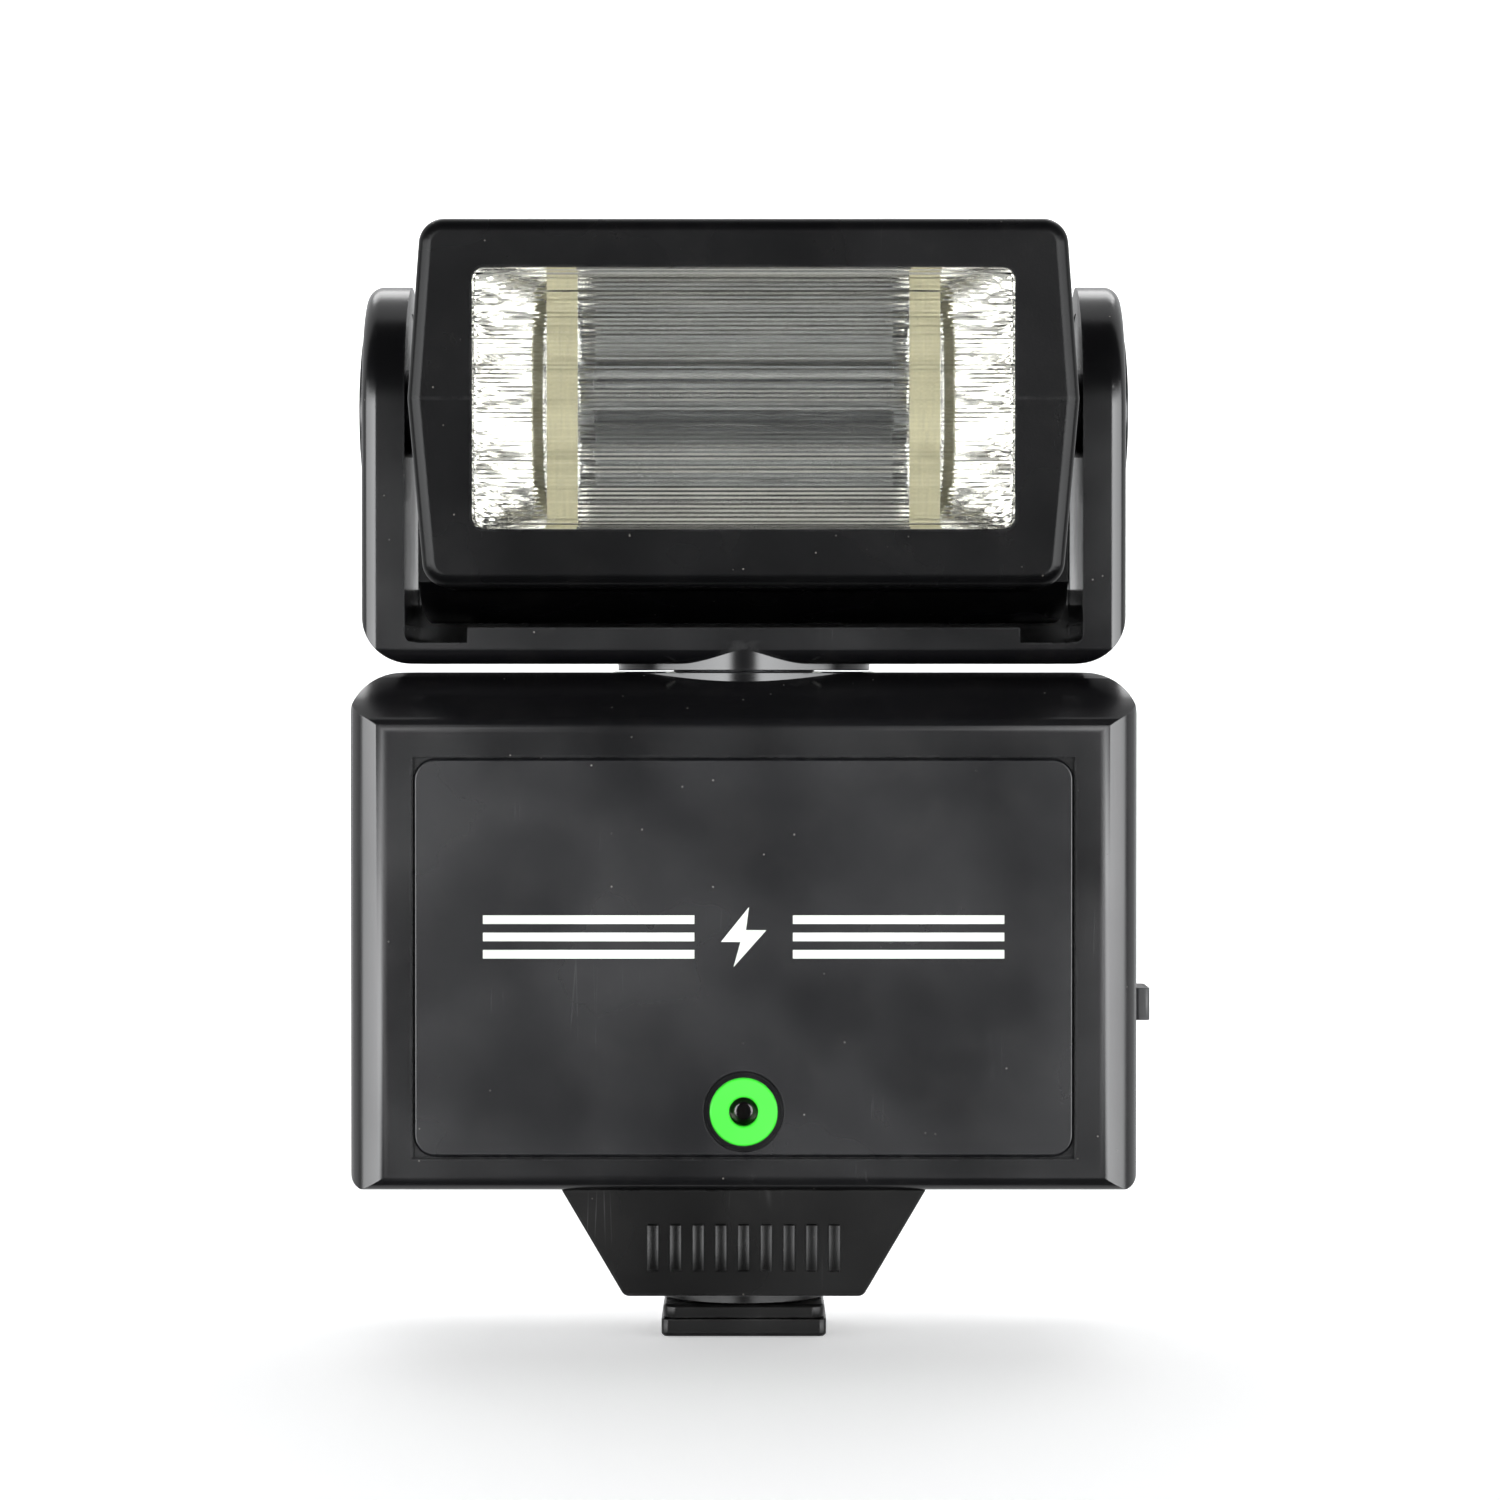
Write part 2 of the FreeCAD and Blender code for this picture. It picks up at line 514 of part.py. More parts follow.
cellPitch = "(2*cell_radius+cell_gap)"
cellEnd = "case_width/2-wall-door_space"
cellStart = f"{cellEnd}-cell_length"
trayStart = f"{cellStart}-spring_space"
bayHalf = f"{cellPitch}/2+cell_radius+tray_gap"
bayFront, bayRear = f"bay_middle-({bayHalf})", f"bay_middle+{bayHalf}"
bayLow, bayTop = f"bay_height-({bayHalf})", f"bay_height+{bayHalf}"
rows = [f"bay_height{sign}{cellPitch}/2" for sign in "-+"]
cellSpots = [(f"bay_middle{sign}{cellPitch}/2", up) for sign in "-+" for up in rows]
trayWalls = block("TrayOut", f"{trayStart}-tray_wall", f"{cellEnd}+0.4", f"{bayFront}-tray_wall",
                  f"{bayRear}+tray_wall", f"{bayLow}-tray_wall", f"{bayTop}+tray_wall")
keep("battery_tray", cut("BatteryTray", trayWalls,
                         block("TrayIn", trayStart, "case_width", bayFront, bayRear, bayLow, bayTop)))
keep("battery_cells", group("BatteryCells", *[
    fuse(f"Cell{i}", rod(f"CellCan{i}", "x", "cell_radius", cellStart, f"{cellEnd}-tip_long", y, z),
         rod(f"CellTip{i}", "x", "tip_radius", f"{cellEnd}-tip_long-0.2", cellEnd, y, z))
    for i, (y, z) in enumerate(cellSpots)]))
keep("tray_contacts", group("TrayContacts", *[
    block(f"TrayContact{i}", trayStart, f"{trayStart}+contact_thick", f"{bayFront}+0.5", f"{bayRear}-0.5",
          f"{up}-cell_radius+1.75", f"{up}+cell_radius-1.75") for i, up in enumerate(rows)]))
coil("cell_springs", "x", 4.6, 0.35, size("spring_space-contact_thick") - 0.9, 3,
     [(size(y), size(z)) for y, z in cellSpots], size(f"{trayStart}+contact_thick") + 0.4, -14)

# ---- battery door ----

doorPlate = extrude("DoorPlate", "XY", doorLow, doorHigh,
                    rect("case_width/2-wall", "case_width/2", doorFront, "pin_depth"))
knuckle = rod("DoorKnuckle", "z", "knuckle_radius", doorLow, doorHigh, pinX, "pin_depth")
latchFront = f"{doorFront}+1.6"
latchSlot = block("LatchSlot", "case_width/2-wall-1", "case_width", f"{latchFront}+0.8",
                  f"{latchFront}+latch_long-1.6+latch_travel", "bay_height-1.3", "bay_height+1.3")
keep("battery_door", cut("BatteryDoor", fuse("DoorSolid", doorPlate, knuckle),
                         rod("DoorPinBore", "z", "pin_radius+run_gap", f"{doorLow}-1", f"{doorHigh}+1", pinX,
                             "pin_depth"), latchSlot))
keep("door_pin", rod("DoorPin", "z", "pin_radius", f"{doorLow}-pin_end", f"{doorHigh}+pin_end",
                     pinX, "pin_depth"))
keep("door_contacts", group("DoorContacts", *[
    block(f"DoorContact{i}", "case_width/2-wall-0.5", "case_width/2-wall", f"{latchFront}+latch_long-0.4",
          f"{bayRear}-1.6", f"{up}-cell_radius+2.75", f"{up}+cell_radius-2.75")
    for i, up in enumerate(rows)]))

latch = newBody("door_latch")
pad(latch, "XY", "bay_height-1.8", "bay_height+1.8",
    rect("case_width/2+0.15", "case_width/2+latch_proud", latchFront, f"{latchFront}+latch_long", 0.5))
pad(latch, "XY", "bay_height-1", "bay_height+1",
    rect("case_width/2-wall-0.6", "case_width/2+0.3", f"{latchFront}+1.1", f"{latchFront}+latch_long-2.2"))
pad(latch, "XY", "bay_height-2.4", "bay_height+2.4",
    rect("case_width/2-wall-1", "case_width/2-wall-0.15", f"{latchFront}+0.2",
         f"{latchFront}+latch_long-1.4"))
for step in range(4):
    pocket(latch, "XY", "bay_height-3", "bay_height+3",
           rect("case_width/2+latch_proud-knob_groove", "case_width/2+latch_proud+1",
                f"{latchFront}+1.6+{step}*1.5", f"{latchFront}+2.1+{step}*1.5"))

# ---- case insides ----

keep("main_capacitor", rod("MainCapacitor", "z", "cap_radius", "case_bottom+wall+3",
                           "case_bottom+wall+3+cap_tall", f"{trayStart}-tray_wall-0.4-cap_radius",
                           "bay_middle-7"))
coreLow = f"{bayTop}+tray_wall"
coreRight, coreTop = "core_left+core_long", f"{coreLow}+core_tall"
core = block("CoreBlock", "core_left", coreRight, "-core_deep/2", "core_deep/2", coreLow, coreTop)
keep("transformer_core", cut("TransformerCore", core, block(
    "CoreWindow", "core_left+core_limb", f"{coreRight}-core_limb", "-core_deep", "core_deep",
    f"{coreLow}+core_limb-0.5", f"{coreTop}-core_limb+0.5")))
keep("transformer_winding", block(
    "TransformerWinding", "core_left+core_limb+0.1", f"{coreRight}-core_limb-0.1",
    "-core_deep/2+0.5", "core_deep/2-0.5", f"{coreLow}+core_limb-0.4", f"{coreTop}-core_limb+0.4"))
boardEdge = "case_width/2-wall-post_inset-post_radius-board_gap"
keep("main_board", block("MainBoard", minus(boardEdge), f"{boardEdge}-board_notch", "board_depth", boardBack,
                         "case_bottom+wall+4.5", "seat_low-4"))
chips = [(-34, -20, 44, 50), (-12, -2, 44, 52), (6, 16, 48, 53), (-34, -26, 56, 62), (20, 32, 40, 46),
         (0, 14, 60, 63)]  # left, right, low and high side of each
keep("board_parts", group("BoardParts", *[
    block(f"BoardPart{i}", left, right, boardBack, f"{boardBack}+chip_tall", low, high)
    for i, (left, right, low, high) in enumerate(chips)]))
keep("sync_socket", cut("SyncSocket", rod("SocketBarrel", "x", "socket_radius", "-case_width/2+0.1",
                                          "-case_width/2+10", *socketPlace),
                        rod("SocketBore", "x", "jack_bore", "-case_width/2-1", "-case_width/2+8",
                            *socketPlace)))

# ---- swivel ----

keep("swivel_base_ring", cut("BaseRing", fuse(
    "BaseRingSolid", rod("BaseRingFlange", "z", "base_ring_radius", "base_ring_floor", "case_top+0.1"),
    rod("BaseRingSpigot", "z", "shaft_radius+1.95", "seat_low+0.2", "base_ring_floor+0.1")),
    rod("BaseRingBore", "z", "shaft_radius+run_gap", "seat_low-1", "case_top+1")))
collarLow = "case_top+0.22"
collarScrews = [(f"collar_screw_ring*cos({a})", f"collar_screw_ring*sin({a})") for a in (30, 150, 270)]
collarThreads = [rod(f"CollarThread{i}", "z", "collar_screw", "collar_top-2.2", "collar_top+1", x, y)
                 for i, (x, y) in enumerate(collarScrews)]
collarTube = tube("CollarTube", "z", "collar_radius", "shaft_radius", collarLow, "collar_top")
keep("swivel_collar", cut("SwivelCollar", collarTube, *collarThreads))
shaftTop = "block_top-base_cover-0.1"
keep("swivel_shaft", tube("SwivelShaft", "z", "shaft_radius", "shaft_bore", "shaft_low", shaftTop))
keep("swivel_retainer", tube("SwivelRetainer", "z", "shaft_radius+4", "shaft_radius", "shaft_low+0.4",
                             "shaft_low+1.9"))
keep("spring_washer", tube("SpringWasher", "z", "shaft_radius+3.4", "shaft_radius+0.3", "shaft_low+1.95",
                           "seat_low-0.1"))

# ---- yoke ----

armOut, armIn = "yoke_width/2", "yoke_width/2-arm_thick"
armTop = "pivot_height+arm_round+1"
yokeU = extrude("YokeU", "XZ", "-arm_round", "arm_round", [
    (minus(armOut), "yoke_bottom", "yoke_corner"), (armOut, "yoke_bottom", "yoke_corner"), (armOut, armTop),
    (armIn, armTop), (armIn, "strap_top", 1), ("block_width/2", "strap_top"), ("block_width/2", "block_top"),
    ("-block_width/2", "block_top"), ("-block_width/2", "strap_top"), (minus(armIn), "strap_top", 1),
    (minus(armIn), armTop), (minus(armOut), armTop)])
yokeSide = doc.addObject("PartDesign::Body", "YokeSide")  # side outline, eased where the hand holds the arms
pad(yokeSide, "YZ", minus(armOut), armOut,
    [("-arm_round", "yoke_bottom", "yoke_lip"), ("arm_round", "yoke_bottom", "yoke_lip"),
     ("arm_round", "pivot_height+arm_round", "arm_round-0.05"),
     ("-arm_round", "pivot_height+arm_round", "arm_round-0.05")])
soften(yokeSide, "Fillet", "arm_edge",
       lambda edge: flatAt("x", armOut)(edge) or flatAt("x", minus(armOut))(edge))
cradle = cut("Cradle", block("CradleBlock", minus(armIn), armIn, "arm_round-cradle_wall", "arm_round",
                             "strap_top", "block_top+cradle_rise"),
             rod("CradleSweep", "x", "drum_radius+0.6", "-block_width", "block_width", 0, "pivot_height"))
coverWell = block("CoverWell", "-block_width/2+cover_inset-0.1", "block_width/2-cover_inset+0.1",
                  "-arm_round+cover_inset-0.1", "arm_round-cradle_wall-0.4",
                  "block_top-base_cover-0.05", "block_top+cradle_rise+4")
armFaces = [(f"{armIn}-1", f"{armIn}+1"), (f"-({armIn})-1", f"-({armIn})+1")]
loomPockets = [block(f"LoomPocket{i}", low, high, "-arm_round+cover_inset-0.1", "arm_round-cover_inset+0.1",
                     "strap_top+2", "pivot_height") for i, (low, high) in enumerate(armFaces)]
loomEnds = [rod(f"LoomEnd{i}", "x", "arm_round-cover_inset+0.1", low, high, 0, "pivot_height")
            for i, (low, high) in enumerate(armFaces)]
pinHoles = rod("YokePinHole", "x", "pivot_radius+0.02", "-yoke_width", "yoke_width", 0, "pivot_height")
collarSeat = rod("CollarSeat", "z", "collar_radius+0.02", "yoke_bottom-1", "collar_top")
shaftHole = rod("YokeShaftHole", "z", "shaft_radius+0.02", "yoke_bottom-1", "block_top+1")
collarWays = [rod(f"CollarScrewWay{i}", "z", "collar_screw+0.1", "collar_top-1", "block_top", x, y)
              for i, (x, y) in enumerate(collarScrews)]
yokeSolid = fuse("YokeSolid", common("YokeBase", yokeU, yokeSide), cradle)
keep("yoke_frame", cut("YokeFrame", yokeSolid, coverWell, collarSeat, shaftHole, pinHoles,
                       *loomPockets, *loomEnds, *collarWays))
keep("collar_screws", group("CollarScrews", *[
    rod(f"CollarScrew{i}", "z", "collar_screw", "collar_top-2", shaftTop, x, y)
    for i, (x, y) in enumerate(collarScrews)]))
keep("yoke_base_cover", extrude("YokeBaseCover", "XY", "block_top-base_cover-0.05", "block_top-0.05",
                                rect("-block_width/2+cover_inset", "block_width/2-cover_inset",
                                     "-arm_round+cover_inset", "arm_round-cradle_wall-0.5")))


def mirrored(label, build):
    return keep(label, group(plain(label), build("Left", "-"), build("Right", "")))


def span(sign, near, far):
    """Low and high X between two distances from the middle, on one side."""
    return (near, far) if not sign else (minus(far), minus(near))


mirrored("arm_covers", lambda side, sign: cut(
    "ArmCover" + side,
    fuse("ArmCoverSolid" + side,
         block("ArmCoverPlate" + side, *span(sign, f"{armIn}+1-arm_cover", f"{armIn}+1"),
               "-arm_round+cover_inset", "arm_round-cover_inset", "strap_top+2.1", "pivot_height"),
         rod("ArmCoverEnd" + side, "x", "arm_round-cover_inset",
             *span(sign, f"{armIn}+1-arm_cover", f"{armIn}+1"), 0, "pivot_height")),
    rod("ArmCoverHole" + side, "x", "pivot_radius", *span(sign, f"{armIn}-1", f"{armIn}+2"), 0,
        "pivot_height")))
bossEnd = f"{armIn}-hub_gap"
pinEnd = "head_half-head_wall-2"
mirrored("tilt_pins", lambda side, sign: fuse(
    "TiltPin" + side,
    tube("TiltPinTube" + side, "x", "pivot_radius", "pin_bore", *span(sign, pinEnd, f"{armOut}-0.4"), 0,
         "pivot_height"),
    tube("TiltPinFlange" + side, "x", "pivot_radius+2", "pin_bore", *span(sign, pinEnd, f"{pinEnd}+1"), 0,
         "pivot_height")))
mirrored("tilt_caps", lambda side, sign: rod("TiltCap" + side, "x", "cap_disc",
                                             *span(sign, armOut, f"{armOut}+cap_proud"), 0, "pivot_height"))

# ---- head ----

def hoodLoop(inset, down="head_down", half="head_half_low"):
    """Outline of the head from in front, widest at the parting line; down and half set its lower end."""
    top, low = f"pivot_height+head_up-{inset}", f"pivot_height-({down})+{inset}"
    wide, upper, lower = f"head_half-{inset}", f"head_half_top-{inset}", f"{half}-{inset}"
    radius = f"head_round-{inset}"
    return [(minus(lower), low, radius), (lower, low, radius), (wide, "pivot_height"), (upper, top, radius),
            (minus(upper), top, radius), (minus(wide), "pivot_height")]


def drum(name, inset):
    """Round back of the head about the tilt axis, tapering above it like the hood and straight below."""
    return common(name, rod(name + "Round", "x", f"drum_radius-{inset}", "-yoke_width", "yoke_width", 0,
                            "pivot_height"),
                  extrude(name + "Sides", "XZ", f"-drum_front+{inset}", "drum_radius+5",
                          hoodLoop(inset, "drum_radius+1", "head_half")))


hoodBack = "-drum_front+8"
hood = doc.addObject("PartDesign::Body", "Hood")
pad(hood, "XZ", "-head_front", hoodBack, hoodLoop(0))
soften(hood, "Fillet", "head_edge", flatAt("y", "-head_front"))
hoodIn = extrude("HoodIn", "XZ", "-head_front+head_wall", hoodBack + "+1", hoodLoop("head_wall"))
headIn = fuse("HeadIn", hoodIn, drum("DrumIn", "head_wall"))
headOut = fuse("HeadOut", hood, drum("Drum", 0))
bosses = [rod("HubBoss" + side, "x", "boss_radius", *span(sign, "head_half-head_wall", bossEnd), 0,
              "pivot_height") for side, sign in (("Left", "-"), ("Right", ""))]
windowHalf, windowUp = "window_width/2", "window_tall/2"
windowHole = extrude("WindowHole", "XZ", "-head_front-1", "-head_front+head_wall+0.5",
                     rect(f"-({windowHalf})-0.05", f"{windowHalf}+0.05", f"pivot_height-({windowUp})-0.05",
                          f"pivot_height+{windowUp}+0.05", "window_corner"))
headScrews = [(x, "head_screw_y") for x in ("-head_screw_x", "head_screw_x")]
drumLow = "pivot_height-drum_radius"
headSeat = f"{drumLow}+head_screw_rise"
headPosts = [rod(f"HeadPost{i}", "z", "head_post", f"{drumLow}+1", "pivot_height+head_up-1", x, y)
             for i, (x, y) in enumerate(headScrews)]
pinWay = rod("HeadPinWay", "x", "pivot_radius+run_gap", "-yoke_width", "yoke_width", 0, "pivot_height")
screwWay = [rod(f"HeadScrewWay{i}", "z", "screw_shank+0.1", f"{drumLow}-1", "pivot_height+9", x, y)
            for i, (x, y) in enumerate(headScrews)]
headSeatTop = f"{headSeat}+head_screw_tall"
screwSink = [rod(f"HeadScrewSink{i}", "z", "screw_head+0.1", f"{drumLow}-1", headSeatTop, x, y)
             for i, (x, y) in enumerate(headScrews)]
headWalls = cut("HeadWalls", fuse("HeadSolid", cut("HeadSkin", headOut, headIn), *headPosts, *bosses),
                windowHole, pinWay, *screwWay, *screwSink)
for label, low, high in (("head_upper_shell", "pivot_height", "pivot_height+60"),
                         ("head_lower_shell", "pivot_height-60", "pivot_height")):
    half = block(plain(label) + "Region", "-yoke_width", "yoke_width", -60, 60, low, high)
    keep(label, common(plain(label), headWalls, half))
keep("head_screws", group("HeadScrews", *[
    fuse(f"HeadScrew{i}", rod(f"HeadScrewHead{i}", "z", "screw_head", headSeat, headSeatTop, x, y),
         rod(f"HeadScrewShank{i}", "z", "screw_shank", f"{headSeatTop}-0.1", "pivot_height+8", x, y))
    for i, (x, y) in enumerate(headScrews)]))

window = newBody("flash_window")
windowFront, flangeFront = "-head_front+window_sunk", "-head_front+head_wall+0.05"
pad(window, "XZ", windowFront, f"{flangeFront}+flange_thick",
    rect(minus(windowHalf), windowHalf, f"pivot_height-({windowUp})", f"pivot_height+{windowUp}",
         "window_corner"))
soften(window, "Chamfer", 0.3, flatAt("y", windowFront))
pad(window, "XZ", flangeFront, f"{flangeFront}+flange_thick",
    rect(f"-({windowHalf})-flange_wide", f"{windowHalf}+flange_wide",
         f"pivot_height-({windowUp})-flange_wide", f"pivot_height+{windowUp}+flange_wide"))


def funnel(name, grow, frontAt, backAt):
    """Solid between the reflector's mouth and its back, grown by a sheet's thickness."""
    sketches = []
    ends = (("Mouth", frontAt, f"{windowHalf}-mouth_gap+{grow}", f"{windowUp}-mouth_gap+{grow}"),
            ("Back", backAt, f"trough_width/2+{grow}", f"trough_tall/2+{grow}"))
    for tag, depth, half, tall in ends:
        sketch = doc.addObject("Sketcher::SketchObject", name + tag)
        sketch.Placement = FreeCAD.Placement(Vector(), turns["XZ"])
        sketch.setExpression("Placement.Base.y", bind(depth))
        drawLoop(sketch, rect(minus(half), half, f"pivot_height-({tall})", f"pivot_height+{tall}"))
        sketches.append(sketch)
    loft = doc.addObject("Part::Loft", name)
    loft.Sections = sketches
    loft.Solid = True
    loft.Ruled = True
    return loft


mouthAt = f"{flangeFront}+flange_thick+0.1"
tubeHoles = rod("TubeHoles", "x", "tube_radius+0.8", "-tube_length", "tube_length", "-tube_depth",
                "pivot_height")
keep("flash_reflector", cut("FlashReflector",
                            funnel("ReflectorOut", "sheet_thick", mouthAt, "-trough_back+sheet_thick"),
                            funnel("ReflectorIn", 0, mouthAt, "-trough_back"), tubeHoles))
tubeAt = ("-tube_depth", "pivot_height")
glass = rod("TubeGlass", "x", "tube_radius", "-tube_length/2+3", "tube_length/2-3", *tubeAt)
keep("xenon_tube", fuse("XenonTube", glass,
                        rod("TubeWires", "x", 0.5, "-tube_length/2", "tube_length/2", *tubeAt)))
mirrored("tube_sleeves", lambda side, sign: cut(
    "TubeSleeve" + side,
    rod("TubeSleeveOut" + side, "x", "tube_radius+0.75",
        *span(sign, "trough_width/2+1", "tube_length/2-0.6"), *tubeAt),
    rod("TubeSleeveIn" + side, "x", "tube_radius+0.02",
        *span(sign, "trough_width/2", "tube_length/2-2.9"), *tubeAt),
    rod("TubeSleeveWire" + side, "x", 0.55, *span(sign, "trough_width/2", "tube_length/2"), *tubeAt)))
keep("trigger_coil", fuse("TriggerCoil", rod("TriggerBobbin", "x", 4, -16, -4, 6, "pivot_height-8"),
                          block("TriggerBase", -18, -2, 2, 10, "pivot_height-13.2", "pivot_height-11.8")))

# ---- shoe ----

shoeOutline = [("-bracket_foot/2", "bracket_low", 1), ("bracket_foot/2", "bracket_low", 1),
               ("bracket_top/2", "case_bottom"), ("-bracket_top/2", "case_bottom")]
wheelLow = "foot_thick+0.05+plate_thick+0.15"
wheelRoom = f"{wheelLow}+hub_tall+wheel_tall+lift+0.3"
bracket = newBody("shoe_bracket")
pad(bracket, "XZ", "-bracket_front", "bracket_back", shoeOutline)
pocket(bracket, "XZ", "-bracket_front+bracket_skirt-0.7", "bracket_back+1",
       rect("-bracket_top", "bracket_top", "bracket_low-1", wheelRoom))
pocket(bracket, "XY", wheelRoom, "case_bottom+1", (0, 0, "neck_radius-1.5"))
for x, y in bracketScrews:
    pocket(bracket, "XY", "case_bottom-5", "case_bottom+1", (x, y, 1.2))
keep("bracket_screws", group("BracketScrews", *[
    fuse(f"BracketScrew{i}", rod(f"BracketScrewHead{i}", "z", 2.2, "case_bottom+wall",
                                 "case_bottom+wall+1.3", x, y),
         rod(f"BracketScrewShank{i}", "z", 1.15, "case_bottom-4.5", "case_bottom+wall+0.1", x, y))
    for i, (x, y) in enumerate(bracketScrews)]))

foot = newBody("shoe_foot")
pad(foot, "XY", 0, "foot_thick", rect("-foot_width/2", "foot_width/2", "-foot_long/2", "foot_long/2", 0.8))
soften(foot, "Chamfer", 0.3, flatAt("z", 0))
pad(foot, "XY", "foot_thick-0.1", wheelRoom, (0, 0, "neck_radius"))
pad(foot, "XY", f"{wheelRoom}-0.1", "case_bottom-1", (0, 0, "neck_radius-1.55"))
pinSpots = [(0, 0, 1.4), (-5, 4.5, 0.8), (5, 4.5, 0.8)]
for x, y, radius in pinSpots:
    pocket(foot, "XY", -1, "foot_thick-0.5", (x, y, f"{radius}+run_gap"))
keep("contact_pins", group("ContactPins", *[
    rod(f"ContactPin{i}", "z", radius, "-contact_proud", "foot_thick-0.5-contact_proud-0.1", x, y)
    for i, (x, y, radius) in enumerate(pinSpots)]))
lockPlate = newBody("lock_plate")
pad(lockPlate, "XY", "foot_thick+0.05", "foot_thick+0.05+plate_thick",
    rect("-foot_width/2+0.2", "foot_width/2-0.2", "-foot_long/2+0.2", "foot_long/2-0.2", 1.5),
    (0, 0, "neck_radius+0.1"))
soften(lockPlate, "Fillet", 0.4,
       lambda edge: flatAt("z", "foot_thick+0.05+plate_thick")(edge) and edge.BoundBox.XLength < 16)

wheel = newBody("lock_wheel")
pad(wheel, "XY", wheelLow, f"{wheelLow}+hub_tall", (0, 0, "hub_radius"), (0, 0, "neck_radius+0.1"))
pad(wheel, "XY", f"{wheelLow}+hub_tall-0.01", f"{wheelLow}+hub_tall+wheel_tall", (0, 0, "wheel_radius"),
    (0, 0, "neck_radius+0.1"))
pocket(wheel, "XY", f"{wheelLow}+hub_tall-0.5", f"{wheelLow}+hub_tall+wheel_tall+1",
       (0, "wheel_radius+0.15", 0.6))
groove = wheel.Tip
knurl = wheel.newObject("PartDesign::PolarPattern", "WheelKnurl")
knurl.Originals = [groove]
knurl.Axis = ([item for item in wheel.Origin.OriginFeatures if item.Role == "Z_Axis"][0], [""])
knurl.Angle = 360
knurl.Occurrences = 36
wheel.Tip = knurl

# ---- check and write ----

doc.recompute()
broken = [f"{item.Label} {item.State}" for item in doc.Objects
          if "Invalid" in item.State or "Error" in item.State]
for label, item in nodes.items():
    if item.Shape.isNull() or not item.Shape.isValid() or not item.Shape.Solids:
        broken.append(label + " has no valid shape")
if broken:
    raise SystemExit("failed: " + "; ".join(broken))
os.makedirs("parts", exist_ok=True)
for label, item in nodes.items():
    item.Shape.exportStep(f"parts/{label}.step")
    print(label, len(item.Shape.Solids), round(item.Shape.Volume, 1))
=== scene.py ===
import json
import math
import random
import bpy
import bmesh
from mathutils import Matrix, Vector

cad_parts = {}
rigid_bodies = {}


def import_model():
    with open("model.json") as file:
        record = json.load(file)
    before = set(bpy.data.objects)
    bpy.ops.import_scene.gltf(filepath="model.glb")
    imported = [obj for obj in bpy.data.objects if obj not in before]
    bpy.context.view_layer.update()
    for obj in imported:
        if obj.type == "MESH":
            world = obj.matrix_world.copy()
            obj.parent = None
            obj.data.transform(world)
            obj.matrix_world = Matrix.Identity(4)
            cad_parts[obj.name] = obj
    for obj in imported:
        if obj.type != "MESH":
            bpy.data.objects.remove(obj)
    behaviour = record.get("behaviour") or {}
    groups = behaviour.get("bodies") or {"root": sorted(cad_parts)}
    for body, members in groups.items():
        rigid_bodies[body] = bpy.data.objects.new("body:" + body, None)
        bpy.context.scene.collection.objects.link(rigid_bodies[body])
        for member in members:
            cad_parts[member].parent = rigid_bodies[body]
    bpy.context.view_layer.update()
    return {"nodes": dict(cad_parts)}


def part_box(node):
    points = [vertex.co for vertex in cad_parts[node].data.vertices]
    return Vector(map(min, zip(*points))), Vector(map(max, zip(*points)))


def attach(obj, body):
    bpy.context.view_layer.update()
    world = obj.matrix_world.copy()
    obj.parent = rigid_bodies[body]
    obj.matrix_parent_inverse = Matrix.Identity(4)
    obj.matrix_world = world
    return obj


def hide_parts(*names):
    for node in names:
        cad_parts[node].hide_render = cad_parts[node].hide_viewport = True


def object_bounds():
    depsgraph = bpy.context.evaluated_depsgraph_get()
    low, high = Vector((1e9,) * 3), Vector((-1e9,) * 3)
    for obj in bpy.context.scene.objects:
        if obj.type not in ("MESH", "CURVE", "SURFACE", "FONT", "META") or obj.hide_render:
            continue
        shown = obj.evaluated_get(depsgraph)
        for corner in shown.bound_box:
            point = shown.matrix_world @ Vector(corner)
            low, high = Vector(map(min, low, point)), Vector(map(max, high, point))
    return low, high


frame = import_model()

nodes = frame["nodes"]
mm = 0.001


# Shader groups that several finishes share

def newGroup(name, inputs, outputs):
    tree = bpy.data.node_groups.new(name, "ShaderNodeTree")
    for label, value in inputs.items():
        tree.interface.new_socket(label, in_out="INPUT", socket_type="NodeSocketFloat").default_value = value
    for label in outputs:
        tree.interface.new_socket(label, in_out="OUTPUT", socket_type="NodeSocketFloat")
    return tree, tree.nodes.new("NodeGroupInput"), tree.nodes.new("NodeGroupOutput")


def put(tree, kind, links=(), **settings):
    node = tree.nodes.new(kind)
    for key, value in settings.items():
        setattr(node, key, value)
    for socket, source in links:
        if isinstance(source, (int, float, tuple)):
            node.inputs[socket].default_value = source
        else:
            tree.links.new(source, node.inputs[socket])
    return node


def maths(tree, operation, first, second=0.0):
    return put(tree, "ShaderNodeMath", ((0, first), (1, second)), operation=operation).outputs[0]


def remap(tree, value, low, high, outLow=0.0, outHigh=1.0):
    links = (("Value", value), ("From Min", low), ("From Max", high), ("To Min", outLow), ("To Max", outHigh))
    return put(tree, "ShaderNodeMapRange", links).outputs[0]


def objectPoint(tree, stretch=(1, 1, 1)):
    place = put(tree, "ShaderNodeTexCoord").outputs["Object"]
    return put(tree, "ShaderNodeMapping", (("Vector", place), ("Scale", stretch))).outputs[0]


def noise(tree, point, scale, detail=2.0, roughness=0.5):
    links = (("Vector", point), ("Scale", scale), ("Detail", detail), ("Roughness", roughness))
    return put(tree, "ShaderNodeTexNoise", links).outputs[0]


grainLook = {"detail": 3.0, "roughness": 0.65, "pits": 0.6, "patchScale": 45.0}


